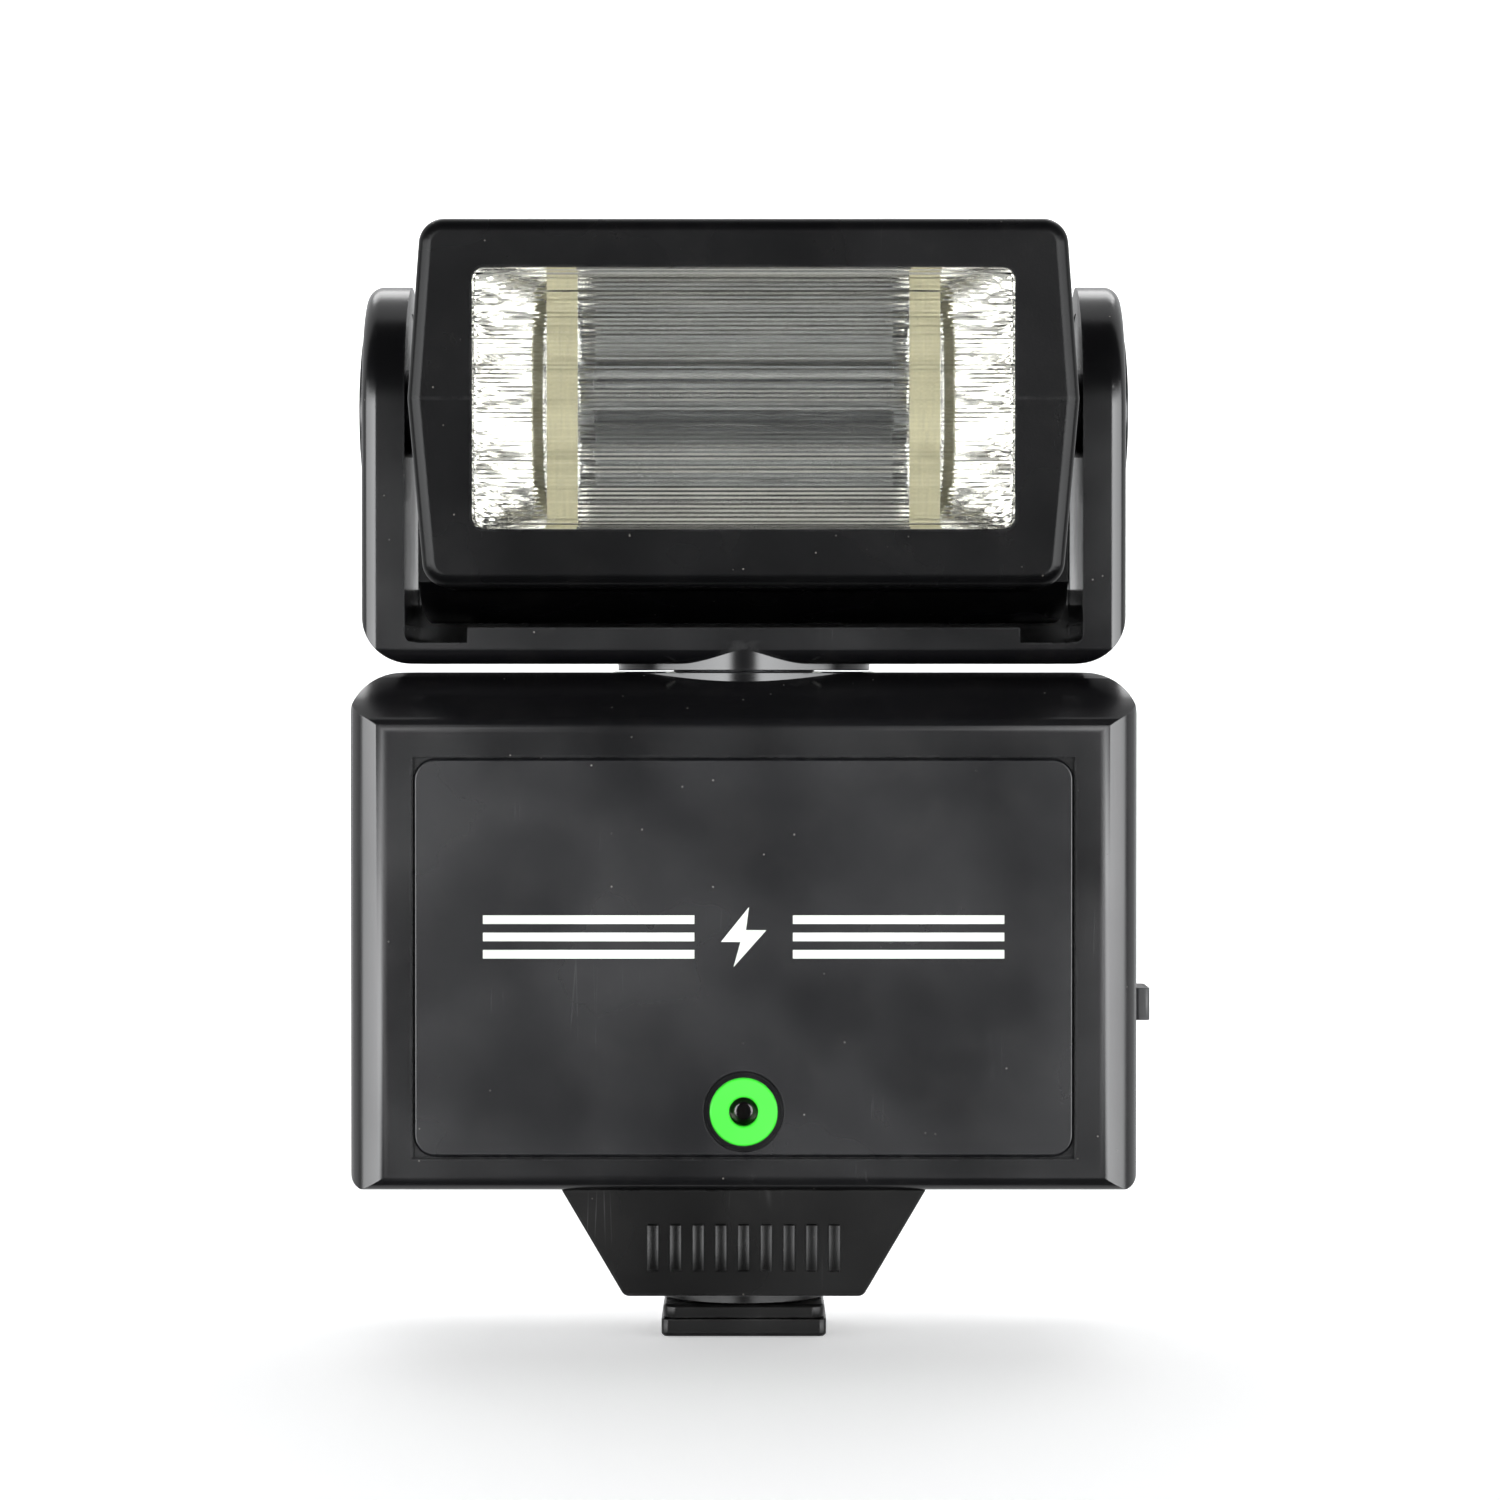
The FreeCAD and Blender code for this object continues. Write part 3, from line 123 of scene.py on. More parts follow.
def makeGrain():  # moulded spark-eroded texture: fine pits with a little larger unevenness under them
    tree, given, out = newGroup("mouldedGrain", {"Scale": 5000.0}, ["Height", "Patch"])
    point = objectPoint(tree)
    fine = noise(tree, point, given.outputs["Scale"], grainLook["detail"], grainLook["roughness"])
    links = (("Vector", point), ("Scale", given.outputs["Scale"]))
    cells = put(tree, "ShaderNodeTexVoronoi", links, feature="F1")
    wide = noise(tree, point, grainLook["patchScale"], grainLook["detail"])
    height = maths(tree, "ADD", fine, maths(tree, "MULTIPLY", cells.outputs["Distance"], grainLook["pits"]))
    tree.links.new(height, out.inputs["Height"])
    tree.links.new(wide, out.inputs["Patch"])
    return tree


dustLook = {"specks": ((900.0, 0.11), (330.0, 0.035)), "rare": (0.93, 0.97), "film": (150.0, 0.028),
            "hairs": ((0.5, 150.0), (-0.9, 120.0), (1.35, 135.0)), "hairWidth": 0.006, "hairStretch": 0.03}


def makeDust():  # pale specks of dust and a few thin hairlines
    tree, given, out = newGroup("dustAndScratches", {"Dust": 0.5, "Scratch": 0.5}, ["Dust", "Scratch"])
    point = objectPoint(tree)
    total = None
    for scale, reach in dustLook["specks"]:
        spots = put(tree, "ShaderNodeTexVoronoi", (("Vector", point), ("Scale", scale)), feature="F1")
        chosen = put(tree, "ShaderNodeSeparateColor", (("Color", spots.outputs["Color"]),)).outputs[0]
        rare = remap(tree, chosen, *dustLook["rare"])
        speck = maths(tree, "MULTIPLY", remap(tree, spots.outputs["Distance"], reach, reach * 0.4), rare)
        total = speck if total is None else maths(tree, "MAXIMUM", total, speck)
    filmScale, filmMost = dustLook["film"]
    film = remap(tree, noise(tree, point, filmScale, 5.0, 0.75), 0.5, 0.8, 0.0, filmMost)
    dust = maths(tree, "MULTIPLY", maths(tree, "ADD", total, film), given.outputs["Dust"])
    lines = None
    for turn, scale in dustLook["hairs"]:
        place = put(tree, "ShaderNodeTexCoord").outputs["Object"]
        links = (("Vector", place), ("Rotation", (0.0, turn, 0.3 * turn)),
                 ("Scale", (1.0, 1.0, dustLook["hairStretch"])))
        turned = put(tree, "ShaderNodeMapping", links)
        links = (("Vector", turned.outputs[0]), ("Scale", scale))
        cells = put(tree, "ShaderNodeTexVoronoi", links, feature="DISTANCE_TO_EDGE")
        thin = remap(tree, cells.outputs["Distance"], dustLook["hairWidth"], 0.0)
        broken = remap(tree, noise(tree, point, 90.0, 3.0), 0.6, 0.75, 0.0, 0.8)
        line = maths(tree, "MULTIPLY", thin, broken)
        lines = line if lines is None else maths(tree, "MAXIMUM", lines, line)
    tree.links.new(dust, out.inputs["Dust"])
    tree.links.new(maths(tree, "MULTIPLY", lines, given.outputs["Scratch"]), out.inputs["Scratch"])
    return tree


wearLook = {"corner": (0.995, 0.88), "patchScale": 420.0, "patch": (0.38, 0.66)}


def makeWear():  # edges rubbed lighter and smoother by handling
    tree, given, out = newGroup("rubbedEdges", {"Radius": 0.0006, "Amount": 0.5}, ["Mask"])
    soft = put(tree, "ShaderNodeBevel", (("Radius", given.outputs["Radius"]),), samples=4).outputs[0]
    normal = put(tree, "ShaderNodeNewGeometry").outputs["Normal"]
    compare = put(tree, "ShaderNodeVectorMath", ((0, soft), (1, normal)), operation="DOT_PRODUCT")
    edge = remap(tree, compare.outputs["Value"], *wearLook["corner"])
    patchy = remap(tree, noise(tree, objectPoint(tree), wearLook["patchScale"], 4.0, 0.7), *wearLook["patch"])
    mask = maths(tree, "MULTIPLY", maths(tree, "MULTIPLY", edge, patchy), given.outputs["Amount"])
    tree.links.new(mask, out.inputs["Mask"])
    return tree


grain, dust, wear = makeGrain(), makeDust(), makeWear()


def useGroup(tree, group, **values):
    node = put(tree, "ShaderNodeGroup", node_tree=group)
    for label, value in values.items():
        node.inputs[label].default_value = value
    return node


def newMaterial(name):
    material = bpy.data.materials.new(name)
    material.use_nodes = True
    tree = material.node_tree
    return material, tree, tree.nodes["Principled BSDF"]


def mixColour(tree, factor, first, second):
    node = put(tree, "ShaderNodeMix", ((0, factor), (6, first), (7, second)), data_type="RGBA")
    return node.outputs[2]


def bump(tree, shader, height, depth):
    node = put(tree, "ShaderNodeBump", (("Height", height), ("Distance", depth), ("Strength", 1.0)))
    tree.links.new(node.outputs[0], shader.inputs["Normal"])


def shade(colour, gain):
    return tuple(min(1.0, part * gain) for part in colour[:3]) + (1.0,)


# Finishes

plasticLooks = {
    "casePlastic": {"colour": (0.0058, 0.0058, 0.0064), "rough": 0.2,
        "grain": 5200.0, "depth": 0.0000022, "dust": 0.55, "scratch": 0.5, "wear": 0.55},
    "panelPlastic": {"colour": (0.0058, 0.0058, 0.007), "rough": 0.24,
        "grain": 6500.0, "depth": 0.000002, "dust": 0.6, "scratch": 0.7, "wear": 0.7},
    "headPlastic": {"colour": (0.0022, 0.0022, 0.0025), "rough": 0.26, "shine": 0.14,
        "grain": 3600.0, "depth": 0.0000075, "dust": 0.4, "scratch": 0.25, "wear": 0.5},
    "yokePlastic": {"colour": (0.0025, 0.0025, 0.003), "rough": 0.2,
        "grain": 4200.0, "depth": 0.000003, "dust": 0.6, "scratch": 0.4, "wear": 0.5},
    "footPlastic": {"colour": (0.0022, 0.0021, 0.002), "rough": 0.26, "shine": 0.2,
        "grain": 3800.0, "depth": 0.000006, "dust": 0.3, "scratch": 0.8, "wear": 0.8},
    "ringPlastic": {"colour": (0.006, 0.006, 0.0065), "rough": 0.15,
        "grain": 5200.0, "depth": 0.000001, "dust": 0.4, "scratch": 0.4, "wear": 0.5},
    "knobPlastic": {"colour": (0.035, 0.035, 0.038), "rough": 0.4,
        "grain": 4200.0, "depth": 0.000005, "dust": 0.4, "scratch": 0.4, "wear": 1.0},
    "innerPlastic": {"colour": (0.02, 0.02, 0.02), "rough": 0.5,
        "grain": 3000.0, "depth": 0.000005, "dust": 0.3, "scratch": 0.3, "wear": 0.3},
    "greenPlastic": {"colour": (0.06, 0.83, 0.045), "rough": 0.33,
        "grain": 5200.0, "depth": 0.000001, "dust": 0.2, "scratch": 0.2, "wear": 0.1},
    "redPlastic": {"colour": (0.42, 0.02, 0.014), "rough": 0.25,
        "grain": 5200.0, "depth": 0.000001, "dust": 0.3, "scratch": 0.3, "wear": 0.3},
    "paleRubber": {"colour": (0.66, 0.65, 0.6), "rough": 0.55,
        "grain": 3000.0, "depth": 0.000004, "dust": 0.2, "scratch": 0.1, "wear": 0.1},
    "boardLaminate": {"colour": (0.02, 0.13, 0.055), "rough": 0.35,
        "grain": 2500.0, "depth": 0.000003, "dust": 0.3, "scratch": 0.3, "wear": 0.2},
    "printInk": {"colour": (0.74, 0.77, 0.7), "rough": 0.5,
        "grain": 4200.0, "depth": 0.000002, "dust": 0.2, "scratch": 0.9, "wear": 0.2},
    "orangeInk": {"colour": (0.75, 0.28, 0.03), "rough": 0.5,
        "grain": 4200.0, "depth": 0.000002, "dust": 0.2, "scratch": 0.6, "wear": 0.2},
}


plasticMix = {"dark": 0.82, "pale": 1.22, "dust": (0.33, 0.31, 0.28, 1.0), "wearRadius": 0.0005}


def plastic(name, look):
    material, tree, shader = newMaterial(name)
    base = look["colour"]
    texture = useGroup(tree, grain, Scale=look["grain"])
    dirt = useGroup(tree, dust, Dust=look["dust"], Scratch=look["scratch"])
    rubbed = useGroup(tree, wear, Radius=plasticMix["wearRadius"], Amount=look["wear"])
    patch = remap(tree, texture.outputs["Patch"], 0.3, 0.7)
    colour = mixColour(tree, patch, shade(base, plasticMix["dark"]), shade(base, plasticMix["pale"]))
    pale = shade(tuple(0.5 * part + 0.03 for part in base), 1.5)
    colour = mixColour(tree, rubbed.outputs["Mask"], colour, pale)
    scraped = shade(tuple(part + 0.04 for part in base), 1.3)
    colour = mixColour(tree, dirt.outputs["Scratch"], colour, scraped)
    colour = mixColour(tree, dirt.outputs["Dust"], colour, plasticMix["dust"])
    tree.links.new(colour, shader.inputs["Base Color"])
    rough = remap(tree, texture.outputs["Patch"], 0.3, 0.7, look["rough"] - 0.04, look["rough"] + 0.06)
    rough = maths(tree, "ADD", rough, maths(tree, "MULTIPLY", dirt.outputs["Dust"], 0.4))
    rough = maths(tree, "SUBTRACT", rough, maths(tree, "MULTIPLY", rubbed.outputs["Mask"], 0.08))
    tree.links.new(rough, shader.inputs["Roughness"])
    shader.inputs["Specular IOR Level"].default_value = look.get("shine", 0.5)
    carved = maths(tree, "MULTIPLY", dirt.outputs["Scratch"], 0.8)
    marks = maths(tree, "SUBTRACT", texture.outputs["Height"], carved)
    bump(tree, shader, marks, look["depth"])
    return material


metalLooks = {
    "screwSteel": {"colour": (0.5, 0.5, 0.5), "rough": 0.32, "stretch": (1.0, 1.0, 1.0)},
    "darkMetal": {"colour": (0.09, 0.09, 0.095), "rough": 0.35, "stretch": (1.0, 1.0, 6.0)},
    "contactMetal": {"colour": (0.7, 0.64, 0.5), "rough": 0.28, "stretch": (1.0, 1.0, 1.0)},
    "bowlMetal": {"colour": (0.93, 0.93, 0.91), "rough": 0.14, "stretch": (0.04, 1.0, 1.0)},
    "stripMetal": {"colour": (0.7, 0.67, 0.49), "rough": 0.6, "stretch": (1.0, 1.0, 0.2)},
    "copperWire": {"colour": (0.6, 0.25, 0.1), "rough": 0.3, "stretch": (0.1, 1.0, 30.0)},
    "ferriteBlack": {"colour": (0.03, 0.03, 0.03), "rough": 0.6, "stretch": (1.0, 1.0, 1.0)},
}


def metal(name, look):
    material, tree, shader = newMaterial(name)
    point = objectPoint(tree, look["stretch"])
    streak = noise(tree, point, 2600.0, 4.0, 0.6)
    dirt = useGroup(tree, dust, Dust=0.3, Scratch=0.5)
    darker, paler = shade(look["colour"], 0.86), shade(look["colour"], 1.08)
    colour = mixColour(tree, remap(tree, streak, 0.3, 0.7), darker, paler)
    colour = mixColour(tree, dirt.outputs["Dust"], colour, (0.2, 0.18, 0.15, 1.0))
    tree.links.new(colour, shader.inputs["Base Color"])
    shader.inputs["Metallic"].default_value = 0.0 if name == "ferriteBlack" else 1.0
    rough = remap(tree, streak, 0.3, 0.7, look["rough"] - 0.05, look["rough"] + 0.08)
    rough = maths(tree, "ADD", rough, maths(tree, "MULTIPLY", dirt.outputs["Scratch"], 0.2))
    tree.links.new(rough, shader.inputs["Roughness"])
    bump(tree, shader, streak, 0.000002)
    return material


def clearPlastic(name, colour, rough, waves, clear=1.0):
    material, tree, shader = newMaterial(name)
    point = objectPoint(tree)
    dirt = useGroup(tree, dust, Dust=0.35, Scratch=0.5)
    film = noise(tree, point, 60.0, 4.0)
    tint = mixColour(tree, remap(tree, film, 0.35, 0.65), shade(colour, 0.97), shade(colour, 1.0))
    tint = mixColour(tree, dirt.outputs["Scratch"], tint, (0.8, 0.8, 0.78, 1.0))
    tree.links.new(tint, shader.inputs["Base Color"])
    base = remap(tree, film, 0.35, 0.65, rough, rough + 0.03)
    base = maths(tree, "ADD", base, maths(tree, "MULTIPLY", dirt.outputs["Dust"], 0.3))
    tree.links.new(base, shader.inputs["Roughness"])
    shader.inputs["Transmission Weight"].default_value = clear
    shader.inputs["IOR"].default_value = 1.49
    bump(tree, shader, noise(tree, point, waves, 2.0), 0.000004)
    return material


def bandedJacket(name, body, cap, along, lines):  # printed sleeve with one wide band and thin lines round it
    material, tree, shader = newMaterial(name)
    place = put(tree, "ShaderNodeTexCoord").outputs["Object"]
    axis = put(tree, "ShaderNodeSeparateXYZ", (("Vector", place),)).outputs[along]
    dirt = useGroup(tree, dust, Dust=0.2, Scratch=0.6)
    colour = None
    for low, high in lines:
        above, below = maths(tree, "GREATER_THAN", axis, low), maths(tree, "LESS_THAN", axis, high)
        inside = maths(tree, "MULTIPLY", above, below)
        colour = mixColour(tree, inside, colour or shade(body, 1.0), shade(cap, 1.0))
    colour = mixColour(tree, dirt.outputs["Scratch"], colour, (0.5, 0.5, 0.48, 1.0))
    tree.links.new(colour, shader.inputs["Base Color"])
    tree.links.new(remap(tree, noise(tree, place, 300.0), 0.3, 0.7, 0.22, 0.34), shader.inputs["Roughness"])
    shader.inputs["Metallic"].default_value = 0.2
    bump(tree, shader, noise(tree, place, 500.0), 0.000004)
    return material


finishes = {name: plastic(name, look) for name, look in plasticLooks.items()}
finishes.update({name: metal(name, look) for name, look in metalLooks.items()})
finishes["windowClear"] = clearPlastic("windowClear", (0.97, 0.965, 0.93), 0.03, 260.0)
finishes["scaleClear"] = clearPlastic("scaleClear", (0.95, 0.96, 0.95), 0.02, 120.0)
finishes["tubeGlass"] = clearPlastic("tubeGlass", (0.95, 0.97, 1.0), 0.0, 90.0)
finishes["smokedLens"] = clearPlastic("smokedLens", (0.16, 0.14, 0.14), 0.04, 300.0)
finishes["amberLamp"] = clearPlastic("amberLamp", (1.0, 0.36, 0.03), 0.12, 300.0, 0.35)
finishes["greenLamp"] = clearPlastic("greenLamp", (0.08, 0.7, 0.15), 0.12, 300.0, 0.35)
cellLow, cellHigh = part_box("battery_cells")
capLow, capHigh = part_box("main_capacitor")
jacketLook = {"cell": ((0.015, 0.03, 0.12), (0.55, 0.53, 0.5)),
              "capacitor": ((0.012, 0.012, 0.016), (0.6, 0.6, 0.58)),
              "cellBands": (0.014, 0.01, 0.001, 0.0012), "capacitorBands": (0.004, 0.003)}
tailIn, headOut, lineOut, lineIn = jacketLook["cellBands"]
farIn, nearIn = jacketLook["capacitorBands"]
finishes["cellJacket"] = bandedJacket(
    "cellJacket", *jacketLook["cell"], 0,
    ((cellHigh.x - tailIn, cellHigh.x + headOut), (cellLow.x - lineOut, cellLow.x + lineIn)))
finishes["capacitorSleeve"] = bandedJacket(
    "capacitorSleeve", *jacketLook["capacitor"], 2,
    ((capHigh.z - farIn, capHigh.z - nearIn), (capLow.z + nearIn, capLow.z + farIn)))
print("stage: finishes made", len(finishes))

# CAD nodes: finish and eased edges

nodeFinish = {
    "casePlastic": ["main_shell", "rear_cover", "battery_door"],
    "panelPlastic": ["front_panel", "rear_panel"],
    "headPlastic": ["head_upper_shell", "head_lower_shell"],
    "yokePlastic": ["yoke_frame", "yoke_base_cover", "arm_covers", "tilt_caps"],
    "footPlastic": ["shoe_bracket", "shoe_foot", "lock_plate", "lock_wheel"],
    "ringPlastic": ["swivel_base_ring", "swivel_collar", "sensor_bezel"],
    "knobPlastic": ["calculator_slider", "power_switch", "mode_switch", "door_latch"],
    "innerPlastic": ["battery_tray", "photo_sensor", "trigger_coil", "board_parts", "scale_card"],
    "greenPlastic": ["sensor_ring"],
    "redPlastic": ["test_button"],
    "paleRubber": ["tube_sleeves"],
    "boardLaminate": ["main_board"],
    "screwSteel": ["button_spring", "case_screws", "bracket_screws", "head_screws", "collar_screws",
                   "door_pin", "swivel_retainer", "spring_washer", "cell_springs"],
    "darkMetal": ["swivel_shaft", "tilt_pins"],
    "contactMetal": ["tray_contacts", "door_contacts", "contact_pins", "sync_socket"],
    "bowlMetal": ["flash_reflector"],
    "copperWire": ["transformer_winding"],
    "ferriteBlack": ["transformer_core"],
    "cellJacket": ["battery_cells"],
    "capacitorSleeve": ["main_capacitor"],
    "windowClear": ["flash_window"],
    "scaleClear": ["scale_window"],
    "tubeGlass": ["xenon_tube"],
    "smokedLens": ["sensor_lens"],
    "amberLamp": ["ready_lamp"],
    "greenLamp": ["check_lamp"],
}
easedEdges = {  # how far each visible node's sharp edges are rounded, in millimetres
    "main_shell": 0.25, "rear_cover": 0.25, "battery_door": 0.15, "front_panel": 0.08, "rear_panel": 0.1,
    "head_upper_shell": 0.22, "head_lower_shell": 0.22, "yoke_frame": 0.5, "tilt_caps": 0.15,
    "shoe_bracket": 0.35, "shoe_foot": 0.15, "lock_plate": 0.15, "lock_wheel": 0.12,
    "swivel_base_ring": 0.2, "swivel_collar": 0.1,
    "calculator_slider": 0.08, "power_switch": 0.08, "mode_switch": 0.08, "door_latch": 0.08,
}


easeLook = {"weld": 0.002 * mm, "flat": 0.5, "corner": 32, "segments": 2}


def dressNode(name, finish):
    item = nodes[name]
    item.data.materials.clear()
    item.data.materials.append(finishes[finish])
    item.data.polygons.foreach_set("use_smooth", [True] * len(item.data.polygons))
    weld = item.modifiers.new("join", "WELD")
    weld.merge_threshold = easeLook["weld"]
    if name in easedEdges:
        flat = item.modifiers.new("flatten", "DECIMATE")
        flat.decimate_type = "DISSOLVE"
        flat.angle_limit = math.radians(easeLook["flat"])
        ease = item.modifiers.new("ease", "BEVEL")
        ease.width = easedEdges[name] * mm
        ease.segments = easeLook["segments"]
        ease.limit_method = "ANGLE"
        ease.angle_limit = math.radians(easeLook["corner"])
        ease.use_clamp_overlap = True
        even = item.modifiers.new("even", "WEIGHTED_NORMAL")
        even.keep_sharp = True
    else:
        part = item.modifiers.new("part", "EDGE_SPLIT")
        part.split_angle = math.radians(easeLook["corner"])


for finish, names in nodeFinish.items():
    for name in names:
        dressNode(name, finish)
print("stage: nodes dressed", sum(len(names) for names in nodeFinish.values()))

# Helpers for new pieces

def finishPiece(name, shape, finish, body, smooth=35, replaced=()):
    bmesh.ops.remove_doubles(shape, verts=shape.verts, dist=0.0000005)
    bmesh.ops.recalc_face_normals(shape, faces=shape.faces)
    mesh = bpy.data.meshes.new(name)
    shape.to_mesh(mesh)
    shape.free()
    mesh.materials.append(finishes[finish])
    mesh.polygons.foreach_set("use_smooth", [True] * len(mesh.polygons))
    mesh.set_sharp_from_angle(angle=math.radians(smooth))
    piece = bpy.data.objects.new(name, mesh)
    bpy.context.scene.collection.objects.link(piece)
    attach(piece, body)
    if replaced:
        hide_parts(*replaced)
    return piece


def addBlock(shape, low, high, bevel=0.0, segments=2):
    made = bmesh.ops.create_cube(shape, size=1.0)["verts"]
    middle = (Vector(low) + Vector(high)) / 2
    bmesh.ops.scale(shape, verts=made, vec=Vector(high) - Vector(low))
    bmesh.ops.translate(shape, verts=made, vec=middle)
    if bevel:
        edges = {edge for vert in made for edge in vert.link_edges}
        bmesh.ops.bevel(shape, geom=list(edges), offset=bevel, offset_type="OFFSET", segments=segments,
                        profile=0.5, affect="EDGES", material=-1)


def addPlate(shape, corners, level, thick, place=Matrix()):  # a thin prism of one outline drawn in XZ
    face = shape.faces.new([shape.verts.new((x, level, z)) for x, z in corners])
    grown = bmesh.ops.extrude_face_region(shape, geom=[face], use_keep_orig=True)["geom"]
    made = [item for item in grown if isinstance(item, bmesh.types.BMVert)]
    bmesh.ops.translate(shape, verts=made, vec=(0, thick, 0))
    bmesh.ops.transform(shape, matrix=place, verts=made + list(face.verts))


def addBar(shape, x, z, wide, tall, level, thick):  # a thin upright rectangle round its middle
    left, right, low, high = x - wide / 2, x + wide / 2, z - tall / 2, z + tall / 2
    addPlate(shape, [(left, low), (right, low), (right, high), (left, high)], level, thick)


def addTurned(shape, outline, steps, place):  # radius and height pairs, spun about Z and put in place
    known = set(shape.verts)
    made = [shape.verts.new((radius, 0, height)) for radius, height in outline]
    edges = [shape.edges.new(pair) for pair in zip(made, made[1:])]
    bmesh.ops.spin(shape, geom=made + edges, axis=(0, 0, 1), cent=(0, 0, 0), angle=math.tau, steps=steps,
                   use_merge=True, use_duplicate=False)
    bmesh.ops.transform(shape, matrix=place, verts=[vert for vert in shape.verts if vert not in known])


def addText(shape, words, tall, place):
    curve = bpy.data.curves.new("figure", "FONT")
    curve.body, curve.size, curve.align_x, curve.align_y = words, tall, "CENTER", "CENTER"
    holder = bpy.data.objects.new("figure", curve)
    mesh = bpy.data.meshes.new_from_object(holder)
    mesh.transform(place)
    shape.from_mesh(mesh)
    for item in (holder, mesh, curve):
        bpy.data.batch_remove([item])


def facingRear(at):  # puts a flat drawing made in XY upright, to be read from +Y
    return Matrix.Translation(at) @ Matrix.Rotation(math.pi, 4, "Z") @ Matrix.Rotation(math.pi / 2, 4, "X")


def keepInside(shape, point, normal):  # cuts away what lies past a plane and closes the cut
    geom = list(shape.verts) + list(shape.edges) + list(shape.faces)
    cut = bmesh.ops.bisect_plane(shape, geom=geom, dist=0.0000001, plane_co=point, plane_no=normal,
                                 clear_outer=True)
    edges = [item for item in cut["geom_cut"] if isinstance(item, bmesh.types.BMEdge)]
    bmesh.ops.holes_fill(shape, edges=edges)


# Flash window: clear panel with fine ridges on its inner side

windowLow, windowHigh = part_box("flash_window")
windowLook = {"width": 58.4 * mm, "tall": 28.1 * mm, "thick": 1.7 * mm, "pitch": 0.47 * mm,
              "ridge": (0.03 * mm, 0.17 * mm), "facets": 4, "corner": 1.4 * mm, "cuts": 6, "rim": 0.22 * mm,
              "seed": 11}
tiltHeight = (windowLow.z + windowHigh.z) / 2


def makeWindow():
    look = windowLook
    half, tall = look["width"] / 2, look["tall"] / 2
    ridges = round(look["tall"] / look["pitch"])
    rows = ridges * look["facets"]
    chance = random.Random(look["seed"])
    heights = [chance.uniform(*look["ridge"]) for _ in range(ridges + 1)]
    shape = bmesh.new()
    bmesh.ops.create_grid(shape, x_segments=1, y_segments=rows, size=1.0)
    for vert in shape.verts:
        row = round((vert.co.y + 1) / 2 * rows)
        phase = row % look["facets"] / look["facets"]
        depth = look["thick"] - heights[row // look["facets"]] * (1 - math.cos(math.tau * phase)) / 2
        vert.co = Vector((vert.co.x * half, windowLow.y + depth, tiltHeight + vert.co.y * tall))
    grown = bmesh.ops.extrude_face_region(shape, geom=list(shape.faces), use_keep_orig=True)["geom"]
    for vert in (item for item in grown if isinstance(item, bmesh.types.BMVert)):
        vert.co.y = windowLow.y
    bmesh.ops.recalc_face_normals(shape, faces=shape.faces)
    middle = Vector((0, 0, tiltHeight))
    for sx, sz in ((1, 1), (1, -1), (-1, 1), (-1, -1)):
        centre = middle + Vector((sx * (half - look["corner"]), 0, sz * (tall - look["corner"])))
        for step in range(look["cuts"] + 1):
            angle = math.pi / 2 * step / look["cuts"]
            normal = Vector((sx * math.cos(angle), 0, sz * math.sin(angle)))
            edge = centre + normal * look["corner"]
            if 0 < step < look["cuts"]:
                keepInside(shape, edge, normal)
            bright = (normal - Vector((0, 1, 0))).normalized()
            keepInside(shape, Vector((edge.x, windowLow.y, edge.z)) - normal * look["rim"], bright)
    finishPiece("ridgedWindow", shape, "windowClear", "head", 20, ["flash_window"])


makeWindow()

# Reflector, tube and its ends

bowlLook = {"mouthHalf": 29.3 * mm, "mouthTall": 14.15 * mm, "trough": 18.3 * mm, "wing": 21.2 * mm,
            "wingDeep": 4.2 * mm, "crown": 7, "front": -31.5 * mm, "back": -18.1 * mm, "sheet": 0.3 * mm,
            "columns": 114, "rows": 52}


def bowlDepth(x, z):
    look = bowlLook
    across, up = abs(x), abs(z) / look["mouthTall"]
    deep = look["back"] - look["front"]
    trough = look["back"] - deep * up ** 2
    if across <= look["trough"]:
        return trough
    far = min(1.0, max(0.0, (across - look["wing"]) / (look["mouthHalf"] - look["wing"])))
    wing = look["front"] + look["wingDeep"] * (1 - far) * (1 - up ** look["crown"])
    near = min(1.0, (across - look["trough"]) / (look["wing"] - look["trough"]))
    return trough + (min(wing, trough) - trough) * near


def makeBowl():
    look = bowlLook
    shape = bmesh.new()
    bmesh.ops.create_grid(shape, x_segments=look["columns"], y_segments=look["rows"], size=1.0)
    for vert in shape.verts:
        x, z = vert.co.x * look["mouthHalf"], vert.co.y * look["mouthTall"]
        vert.co = Vector((x, bowlDepth(x, z), tiltHeight + z))
    piece = finishPiece("reflectorBowl", shape, "bowlMetal", "head", 30,
                        ["flash_reflector"])
    wall = piece.modifiers.new("sheet", "SOLIDIFY")
    wall.thickness = look["sheet"]
    wall.offset = -1


stripLook = {"near": 17.95 * mm, "far": 21.3 * mm, "level": -29.6 * mm, "thick": 0.3 * mm, "half": 13.9 * mm,
             "bevel": 0.08 * mm}


def makeBowlStrips():  # dull folded ends of the trough, one on each side
    look = stripLook
    shape = bmesh.new()
    for sign in (-1, 1):
        left, right = sorted((sign * look["near"], sign * look["far"]))
        addBlock(shape, (left, look["level"], tiltHeight - look["half"]),
                 (right, look["level"] + look["thick"], tiltHeight + look["half"]), look["bevel"])
    finishPiece("bowlStrips", shape, "stripMetal", "head", 30)


makeBowl()
makeBowlStrips()

tubeLow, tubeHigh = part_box("xenon_tube")
tubeLook = {"radius": 2.0 * mm, "bore": 1.35 * mm, "glassHalf": 22 * mm, "neck": 0.6 * mm, "wire": 0.45 * mm,
            "wireEnd": 24.8 * mm, "electrode": 1.1 * mm, "inside": 5.5 * mm, "long": 3 * mm,
            "taper": 3.4 * mm}


